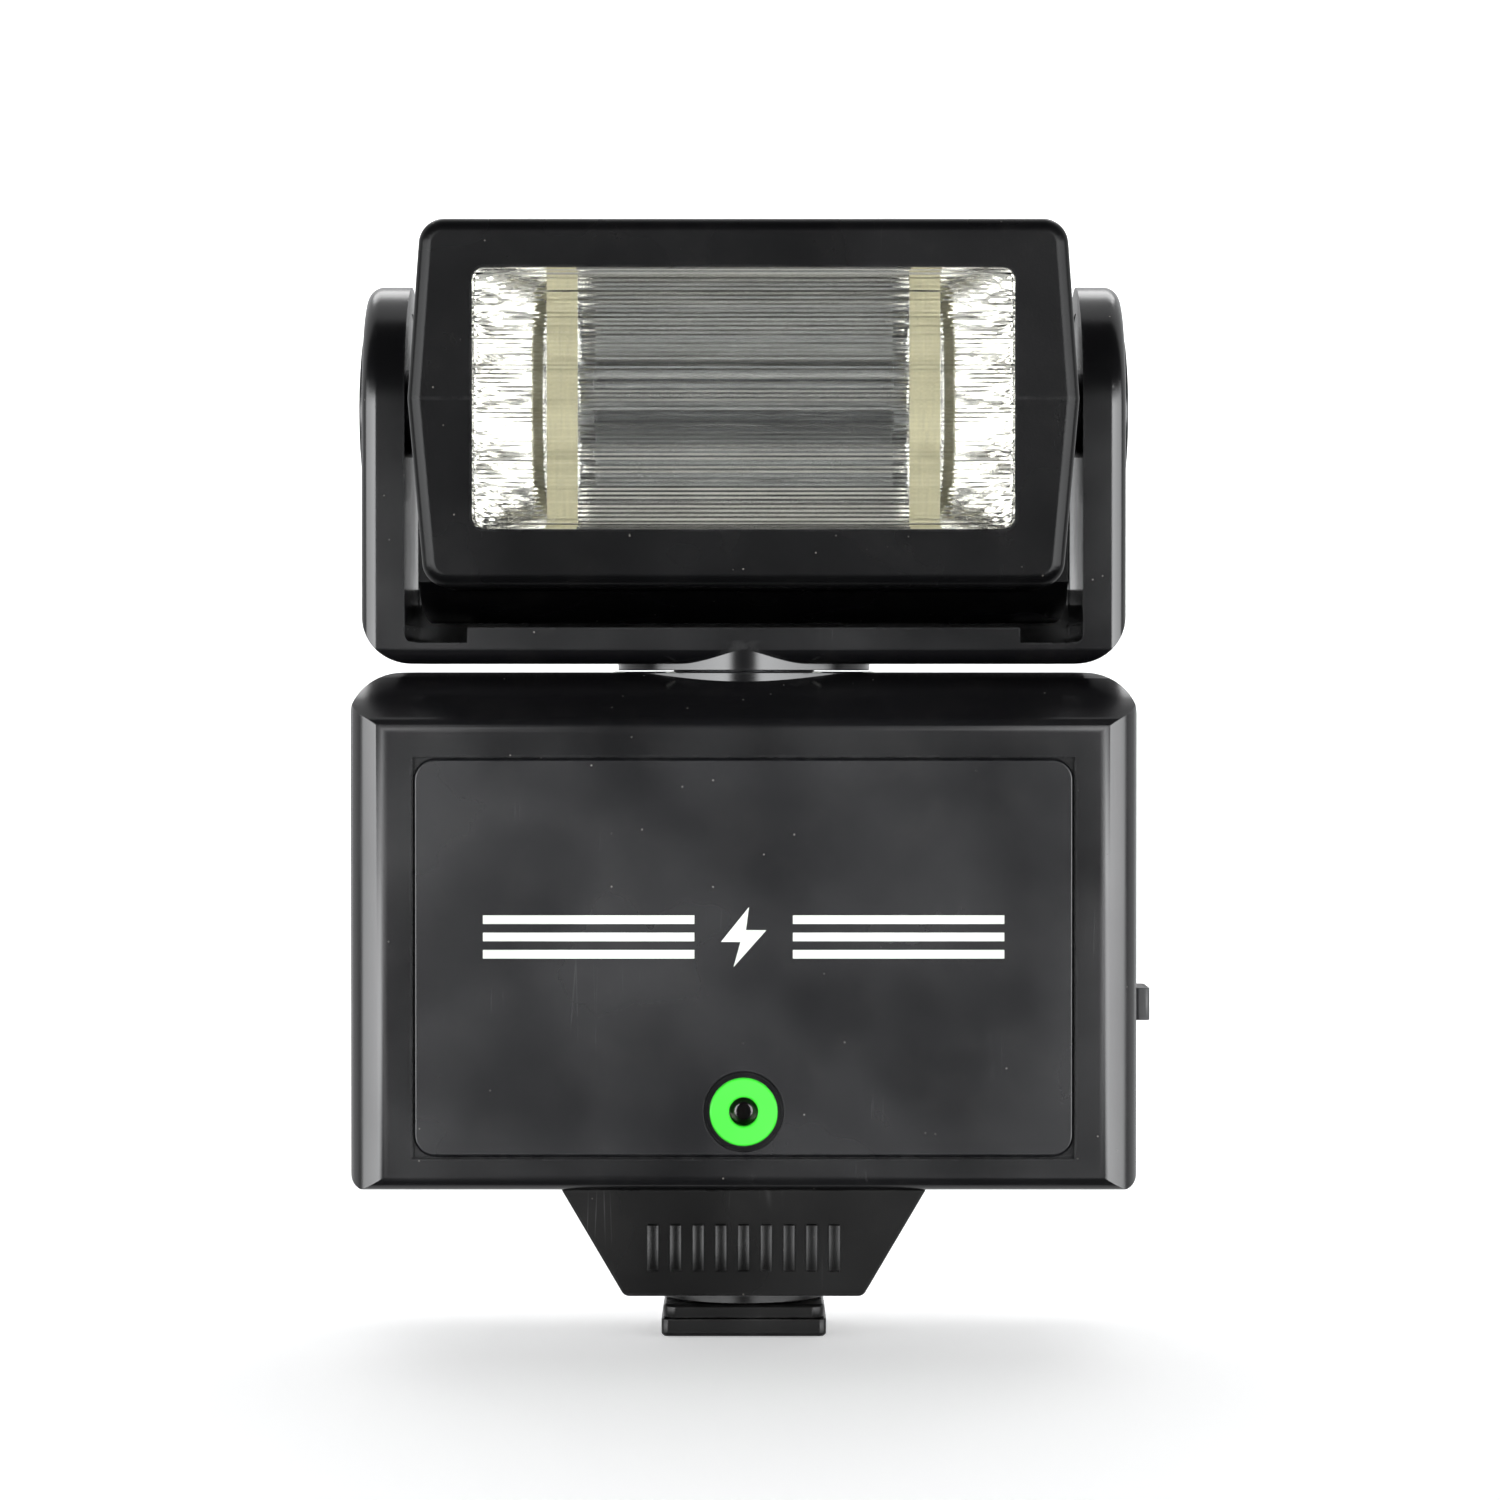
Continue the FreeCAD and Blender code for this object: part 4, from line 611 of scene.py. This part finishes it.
def makeTube():
    look = tubeLook
    at = (0, (tubeLow.y + tubeHigh.y) / 2, tiltHeight)
    along = Matrix.Translation(at) @ Matrix.Rotation(math.pi / 2, 4, "Y")
    half, radius, bore = look["glassHalf"], look["radius"], look["bore"]
    neck, end = look["neck"], look["wireEnd"]
    glass = bmesh.new()
    addTurned(glass, [(bore, -half), (radius * 0.8, -half), (radius, -half + neck), (radius, half - neck),
                      (radius * 0.8, half), (bore, half), (bore, -half)], 32, along)
    finishPiece("tubeGlass", glass, "tubeGlass", "head", 30, ["xenon_tube"])
    metalEnds = bmesh.new()
    for sign in (-1, 1):
        start = sign * (half - look["inside"])
        outline = [(0.0, start), (look["electrode"], start), (look["electrode"], start + sign * look["long"]),
                   (look["wire"], start + sign * look["taper"]), (look["wire"], sign * end),
                   (0.0, sign * end)]
        addTurned(metalEnds, outline, 24, along)
    finishPiece("tubeElectrodes", metalEnds, "screwSteel", "head", 30)


makeTube()
print("stage: window, reflector and tube")

# Printed marks on the front panel

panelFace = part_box("front_panel")[0].y
printLook = {"thick": 0.03 * mm, "middle": 45.9 * mm, "bars": (23.2 * mm, 0.95 * mm, 1.9 * mm),
             "gap": 5.4 * mm}
boltShape = ((0.6, 3.3), (-2.5, -0.55), (-0.35, -0.55), (-1.1, -3.3), (2.5, 0.75), (0.25, 0.75))


def makeFrontPrint():
    look = printLook
    shape = bmesh.new()
    level = panelFace - look["thick"] * 0.6
    addPlate(shape, [(x * mm, look["middle"] + z * mm) for x, z in boltShape], level, look["thick"])
    length, tall, pitch = look["bars"]
    for sign in (-1, 1):
        for row in (-1, 0, 1):
            x, z = sign * (look["gap"] + length / 2), look["middle"] + row * pitch
            addBar(shape, x, z, length, tall, level, look["thick"])
    finishPiece("frontPrint", shape, "printInk", "case")


makeFrontPrint()

# Raised ribs on the shoe bracket

ribLook = {"count": 9, "pitch": 2.5 * mm, "wide": 1.35 * mm, "low": 8.9 * mm, "high": 14.2 * mm,
           "proud": 0.32 * mm, "sunk": 0.3 * mm, "bevel": 0.22 * mm}


def makeRibs():
    look = ribLook
    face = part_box("shoe_bracket")[0].y
    shape = bmesh.new()
    for number in range(look["count"]):
        x = (number - (look["count"] - 1) / 2) * look["pitch"]
        addBlock(shape, (x - look["wide"] / 2, face - look["proud"], look["low"]),
                 (x + look["wide"] / 2, face + look["sunk"], look["high"]), look["bevel"], 3)
    finishPiece("bracketRibs", shape, "footPlastic", "case")


makeRibs()

# Cross-recess screws

screwLook = {"radius": 1.95 * mm, "dome": 0.45 * mm, "slotLong": 1.15 * mm, "slotWide": 0.24 * mm,
             "slotDeep": 0.55 * mm, "skirt": 0.5 * mm, "sink": 0.05 * mm, "turn": 0.5, "spread": 40}


def addScrew(shape, top, way):  # way is the direction the head faces
    look = screwLook
    long, wide = look["slotLong"], look["slotWide"]
    quarter = [(wide, wide), (wide, long), (-wide, long)]
    corners = []
    for turn in range(4):
        for x, y in quarter:
            corners.append((x * math.cos(turn * math.pi / 2) - y * math.sin(turn * math.pi / 2),
                            x * math.sin(turn * math.pi / 2) + y * math.cos(turn * math.pi / 2)))
    before = set(shape.verts)
    loop = [shape.verts.new((x, y, look["dome"])) for x, y in corners]
    inner = [shape.edges.new((loop[i - 1], loop[i])) for i in range(len(loop))]
    rim = bmesh.ops.create_circle(shape, segments=24, radius=look["radius"] * 0.8)["verts"]
    bmesh.ops.translate(shape, verts=rim, vec=(0, 0, look["dome"] * 0.9))
    outer = list({edge for vert in rim for edge in vert.link_edges})
    bmesh.ops.bridge_loops(shape, edges=inner + outer)
    side = bmesh.ops.extrude_edge_only(shape, edges=outer)["geom"]
    low = [item for item in side if isinstance(item, bmesh.types.BMVert)]
    bmesh.ops.scale(shape, verts=low, vec=(1.25, 1.25, 0))
    floor = bmesh.ops.extrude_edge_only(shape, edges=inner)["geom"]
    deep = [item for item in floor if isinstance(item, bmesh.types.BMVert)]
    bmesh.ops.scale(shape, verts=deep, vec=(0.6, 0.6, 1))
    bmesh.ops.translate(shape, verts=deep, vec=(0, 0, -look["slotDeep"]))
    bmesh.ops.holes_fill(shape, edges=[item for item in floor if isinstance(item, bmesh.types.BMEdge)])
    lowEdges = [item for item in side if isinstance(item, bmesh.types.BMEdge) and item.is_boundary]
    down = bmesh.ops.extrude_edge_only(shape, edges=lowEdges)["geom"]
    bottom = [item for item in down if isinstance(item, bmesh.types.BMVert)]
    bmesh.ops.translate(shape, verts=bottom, vec=(0, 0, -look["skirt"]))
    rest = [item for item in down if isinstance(item, bmesh.types.BMEdge) and item.is_boundary]
    bmesh.ops.holes_fill(shape, edges=rest)
    made = [vert for vert in shape.verts if vert not in before]
    spin = Matrix.Rotation(look["turn"] + top[0] * look["spread"], 4, "Z")
    lean = Vector((0, 0, 1)).rotation_difference(Vector(way)).to_matrix().to_4x4()
    bmesh.ops.transform(shape, matrix=Matrix.Translation(Vector(top)) @ lean @ spin, verts=made)


def makeScrews():
    low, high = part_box("case_screws")
    inset = screwLook["radius"] + screwLook["sink"]
    shape = bmesh.new()
    for x in (low.x + inset, high.x - inset):
        for z in (low.z + inset, high.z - inset):
            addScrew(shape, (x, high.y - screwLook["dome"], z), (0, 1, 0))
    finishPiece("coverScrewHeads", shape, "darkMetal", "case", 35, ["case_screws"])
    low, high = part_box("head_screws")
    shape = bmesh.new()
    for x in (low.x + inset, high.x - inset):
        addScrew(shape, (x, (low.y + high.y) / 2, low.z + screwLook["dome"]), (0, 0, -1))
    finishPiece("headScrewHeads", shape, "darkMetal", "head", 35, ["head_screws"])


makeScrews()

# Rear legends

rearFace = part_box("rear_panel")[1].y
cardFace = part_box("scale_card")[1].y
legendLook = {
    "thick": 0.03 * mm, "sunk": 0.012 * mm, "onCard": 0.005 * mm, "figure": 2.3 * mm, "line": 0.22 * mm,
    "stops": ("2", "2.8", "4", "5.6", "8", "11"), "metres": ("1", "2", "3", "5", "8", "12"),
    "figurePitch": 9.6 * mm, "cardHalf": 24 * mm, "metreRow": 0.3, "stopRow": 0.72, "middleRow": 0.51,
    "flagRow": 0.93, "flag": (5 * mm, 0.7 * mm), "cardTicks": 25, "cardPitch": 2 * mm,
    "cardTick": (1.7 * mm, 1.0 * mm), "cardRule": 56 * mm, "cardEdge": 0.8 * mm, "ticks": 13,
    "tickStart": -15 * mm, "tickPitch": 2.5 * mm,
    "tickRise": 3.3 * mm, "tick": (2.0 * mm, 1.3 * mm), "powerDrop": 3.5 * mm, "onMark": (0.3 * mm, 1.6 * mm),
    "offMark": 4 * mm, "ring": (0.55 * mm, 0.85 * mm), "modePitch": 6 * mm, "modeDrops": (3.3 * mm, 4.1 * mm),
    "modeMark": (1.4 * mm, 0.3 * mm), "sideX": 33.2 * mm, "sideDrop": 22 * mm, "side": (0.25 * mm, 40 * mm),
    "arrow": ((28.6 * mm, 3.2 * mm), (30.0 * mm, 3.2 * mm), (29.3 * mm, 4.6 * mm)),
}


def makeRearPrint():
    look = legendLook
    slider, power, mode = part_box("calculator_slider"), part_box("power_switch"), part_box("mode_switch")
    thick, level = look["thick"], rearFace - look["sunk"]
    shape = bmesh.new()
    line = (slider[0].z + slider[1].z) / 2
    for number in range(look["ticks"]):
        x = look["tickStart"] + number * look["tickPitch"]
        addBar(shape, x, line + look["tickRise"], look["line"], look["tick"][number % 2], level, thick)
    row = (power[0].z + power[1].z) / 2
    powerX, modeX = (power[0].x + power[1].x) / 2, (mode[0].x + mode[1].x) / 2
    addBar(shape, powerX, row - look["powerDrop"], *look["onMark"], level, thick)
    for step in range(3):
        for drop in look["modeDrops"][:2 if step else 1]:
            addBar(shape, modeX + step * look["modePitch"], row - drop, *look["modeMark"], level, thick)
    bore, rim = look["ring"]
    addTurned(shape, [(bore, 0), (rim, 0), (rim, thick), (bore, thick), (bore, 0)], 24,
              facingRear((powerX + look["offMark"], level, row - look["powerDrop"])))
    for x in (-look["sideX"], look["sideX"]):
        addBar(shape, x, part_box("rear_panel")[1].z - look["sideDrop"], *look["side"], level, thick)
    finishPiece("rearPrint", shape, "printInk", "case")


def makeScalePrint():
    look = legendLook
    low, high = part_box("scale_window")
    thick, level, tall = look["thick"], cardFace + look["onCard"], high.z - low.z
    card = bmesh.new()
    for words, share in ((look["metres"], look["metreRow"]), (look["stops"], look["stopRow"])):
        for number, word in enumerate(words):
            x = look["cardHalf"] - number * look["figurePitch"]
            addText(card, word, look["figure"], facingRear((x, cardFace + thick, low.z + tall * share)))
    for number in range(look["cardTicks"]):
        x = number * look["cardPitch"] - look["cardHalf"]
        rise = look["cardTick"][number % 2]
        addBar(card, x, low.z + tall * look["middleRow"], look["line"], rise, level, thick)
    for z in (low.z + look["cardEdge"], high.z - look["cardEdge"]):
        addBar(card, 0, z, look["cardRule"], look["line"], level, thick)
    finishPiece("scalePrint", card, "printInk", "case")


def makeOrangePrint():
    look = legendLook
    low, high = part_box("scale_window")
    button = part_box("test_button")
    middle = (button[0].z + button[1].z) / 2
    accent = bmesh.new()
    for number in (1, 3):
        x = number * look["figurePitch"] - look["cardHalf"]
        z = low.z + (high.z - low.z) * look["flagRow"]
        addBar(accent, x, z, *look["flag"], cardFace + look["onCard"], look["thick"])
    addPlate(accent, [(x, middle + z) for x, z in look["arrow"]], rearFace - look["sunk"], look["thick"])
    finishPiece("orangePrint", accent, "orangeInk", "case")


# the dark sheet behind the rear slots is painted shade
slotShadeLook = {"behind": 4.6 * mm, "thick": 0.15 * mm, "spare": 2 * mm, "bevel": 0.05 * mm}


def makeSlotShade():  # a dark sheet behind the slots, painted shade standing in for the shadow inside the case, so that the board does not show through them
    look = slotShadeLook
    low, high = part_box("rear_panel")
    bottom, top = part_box("mode_switch")[0].z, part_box("calculator_slider")[1].z
    level, spare = high.y - look["behind"], look["spare"]
    shape = bmesh.new()
    addBlock(shape, (low.x + spare, level, bottom - spare),
             (high.x - spare, level + look["thick"], top + spare), look["bevel"])
    finishPiece("slotShadeSheet", shape, "innerPlastic", "case")


makeRearPrint()
makeScalePrint()
makeOrangePrint()
makeSlotShade()

# Battery door: grip ribs and a pointer

doorLook = {"ribs": 7, "pitch": 1.5 * mm, "wide": 0.7 * mm, "proud": 0.25 * mm, "start": 4 * mm,
            "sunk": 0.2 * mm, "low": 3 * mm, "high": 9 * mm, "bevel": 0.12 * mm,
            "pointerAway": 4.5 * mm, "pointerRise": 0.05 * mm,
            "pointerThick": 0.075 * mm,
            "pointer": ((0, 1.6), (2.6, 1.6), (2.6, 2.6), (5.2, 0), (2.6, -2.6), (2.6, -1.6), (0, -1.6))}


def makeDoorTrim():
    look = doorLook
    low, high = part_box("battery_door")
    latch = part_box("door_latch")
    shape = bmesh.new()
    for number in range(look["ribs"]):
        y = low.y + look["start"] + number * look["pitch"]
        addBlock(shape, (high.x - look["sunk"], y - look["wide"] / 2, low.z + look["low"]),
                 (high.x + look["proud"], y + look["wide"] / 2, low.z + look["high"]), look["bevel"])
    finishPiece("doorRibs", shape, "casePlastic", "door")
    mark = bmesh.new()
    at = (high.x + look["pointerRise"], latch[1].y + look["pointerAway"], (latch[0].z + latch[1].z) / 2)
    addPlate(mark, [(a * mm, b * mm) for a, b in look["pointer"]], 0, look["pointerThick"],
             Matrix.Translation(at) @ Matrix.Rotation(math.pi / 2, 4, "Z"))
    finishPiece("doorPointer", mark, "printInk", "door")


makeDoorTrim()

# Discs on the tilt caps, marks round the swivel

capLook = {"proud": 0.19 * mm,  # outline of radius in millimetres and height as a share of proud
           "outline": ((0, 0.1), (1.2, 0.1), (1.5, 0.3), (1.5, 1.0), (3.1, 1.0), (3.3, 0.55), (3.6, 0.55),
                       (3.8, 1.0), (5.4, 1.0), (5.6, 0.55), (5.9, 0.55), (6.1, 1.0), (7.1, 1.0), (7.4, 0.6),
                       (7.4, -0.5), (0, -0.5))}


def makeCapDiscs():
    look = capLook
    low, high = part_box("tilt_caps")
    shape = bmesh.new()
    for sign, face in ((-1, low.x), (1, high.x)):
        at = (face, 0, (low.z + high.z) / 2)
        place = Matrix.Translation(at) @ Matrix.Rotation(sign * math.pi / 2, 4, "Y")
        addTurned(shape, [(a * mm, b * look["proud"]) for a, b in look["outline"]], 48, place)
    finishPiece("capDiscs", shape, "darkMetal", "yoke", 30)


markLook = {"count": 12, "hidden": 0.95, "long": 2.4 * mm, "short": 1.6 * mm, "half": 0.15 * mm,
            "thick": 0.03 * mm, "sunk": 0.01 * mm, "away": 0.5 * mm}


def makeSwivelMarks():
    look = markLook
    shape = bmesh.new()
    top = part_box("main_shell")[1].z
    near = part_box("swivel_base_ring")[1].x + look["away"]
    half = look["half"]
    for number in range(look["count"]):
        angle = math.tau * number / look["count"]
        if abs(math.sin(angle)) > look["hidden"]:
            continue
        length = look["short"] if number % 3 else look["long"]
        place = (Matrix.Rotation(angle, 4, "Z") @ Matrix.Translation((near, 0, top - look["sunk"]))
                 @ Matrix.Rotation(-math.pi / 2, 4, "X") @ Matrix.Translation((0, -look["thick"], 0)))
        addPlate(shape, [(0, -half), (length, -half), (length, half), (0, half)], 0, look["thick"], place)
    finishPiece("swivelMarks", shape, "printInk", "case")


makeCapDiscs()
makeSwivelMarks()
print("stage: trim made")

# Camera, floor and light

view = {"distance": 0.55, "eye": 0.0754, "side": 0.0007, "pitch": 0.936, "lens": 120.5}
cameraData = bpy.data.cameras.new("camera")
cameraData.lens = view["lens"]
camera = bpy.data.objects.new("camera", cameraData)
camera.location = (view["side"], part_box("main_shell")[0].y - view["distance"], view["eye"])
camera.rotation_euler = (math.radians(90 - view["pitch"]), 0, 0)
bpy.context.scene.collection.objects.link(camera)
bpy.context.scene.camera = camera


def addLight(name, place, aim, width, height, power):
    data = bpy.data.lights.new(name, "AREA")
    data.shape = "RECTANGLE"
    data.size, data.size_y, data.energy = width, height, power
    lamp = bpy.data.objects.new(name, data)
    lamp.location = place
    lamp.rotation_euler = (Vector(aim) - Vector(place)).to_track_quat("-Z", "Y").to_euler()
    bpy.context.scene.collection.objects.link(lamp)


studio = {"strip": 9.0, "around": 0.85, "ahead": 0.05, "tint": (0.98, 0.99, 1, 1),  # angles are in radians
          "start": (0.17, 0.24), "end": (1.6, 1.4), "rise": (0.3, 0.15), "fade": (0.2, 1.4, 1.35, 0.7),
          "behind": (1.5, 1.85)}
backLight = {"place": (0, 0.7, 0.75), "aim": (0, 0, 0.06), "width": 0.9, "height": 0.35, "power": 3.0}
addLight("softBack", **backLight)


def makeWorld():  # white behind, a long low softbox on each side of the camera and a dark room round it
    world = bpy.data.worlds.new("studio")
    world.use_nodes = True
    tree = world.node_tree
    sky = tree.nodes["Background"]
    around = put(tree, "ShaderNodeTexCoord").outputs["Generated"]
    way = put(tree, "ShaderNodeSeparateXYZ", (("Vector", around),))
    side = maths(tree, "ABSOLUTE", way.outputs[0])
    turn = maths(tree, "ARCTAN2", side, maths(tree, "MULTIPLY", way.outputs[1], -1.0))
    rise = maths(tree, "ABSOLUTE", way.outputs[2])
    strip = maths(tree, "MULTIPLY", remap(tree, turn, *studio["start"]), remap(tree, turn, *studio["end"]))
    strip = maths(tree, "MULTIPLY", strip, remap(tree, rise, *studio["rise"], 0.0, studio["strip"]))
    strip = maths(tree, "MULTIPLY", strip, remap(tree, turn, *studio["fade"]))
    behind = remap(tree, turn, *studio["behind"], studio["ahead"], studio["around"])
    tree.links.new(maths(tree, "ADD", strip, behind), sky.inputs["Strength"])
    sky.inputs["Color"].default_value = studio["tint"]
    plainSky = put(tree, "ShaderNodeBackground", (("Color", (1, 1, 1, 1)), ("Strength", 1.0)))
    seen = put(tree, "ShaderNodeLightPath").outputs["Is Camera Ray"]
    both = put(tree, "ShaderNodeMixShader", ((0, seen), (1, sky.outputs[0]), (2, plainSky.outputs[0])))
    tree.links.new(both.outputs[0], tree.nodes["World Output"].inputs["Surface"])
    bpy.context.scene.world = world


makeWorld()
bpy.context.scene.view_settings.view_transform = "Standard"


floorLook = {"half": 2.2, "long": 3.4, "front": -1.6, "bend": 0.9, "steep": 0.9, "pull": 0.5, "rows": 24,
             "colour": (0.9, 0.9, 0.9, 1), "rough": 0.9, "lift": 0.42}


def sweepFloor():  # a floor that curves up into the backdrop, in metres
    look = floorLook
    shape = bmesh.new()
    bmesh.ops.create_grid(shape, x_segments=1, y_segments=look["rows"], size=1.0)
    for vert in shape.verts:
        along = (vert.co.y + 1) / 2 * look["long"] + look["front"]
        bend = max(0.0, along - look["bend"])
        back = along - look["pull"] * min(bend, look["bend"]) ** 2
        vert.co = Vector((vert.co.x * look["half"], back, bend ** 2 * look["steep"]))
    return shape


floorMesh = bpy.data.meshes.new("floor")
floorShape = sweepFloor()
bmesh.ops.translate(floorShape, verts=floorShape.verts, vec=(0, 0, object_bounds()[0].z))
floorShape.to_mesh(floorMesh)
floorShape.free()
floorMesh.polygons.foreach_set("use_smooth", [True] * len(floorMesh.polygons))
floorItem = bpy.data.objects.new("floor", floorMesh)
bpy.context.scene.collection.objects.link(floorItem)
floorMaterial, floorTree, floorShader = newMaterial("floorPaper")
floorShader.inputs["Base Color"].default_value = floorLook["colour"]
floorShader.inputs["Roughness"].default_value = floorLook["rough"]
seen = put(floorTree, "ShaderNodeLightPath").outputs["Is Camera Ray"]
lift = maths(floorTree, "MULTIPLY", seen, floorLook["lift"])
floorTree.links.new(lift, floorShader.inputs["Emission Strength"])
floorShader.inputs["Emission Color"].default_value = (1, 1, 1, 1)
floorMesh.materials.append(floorMaterial)
floorItem.visible_glossy = False
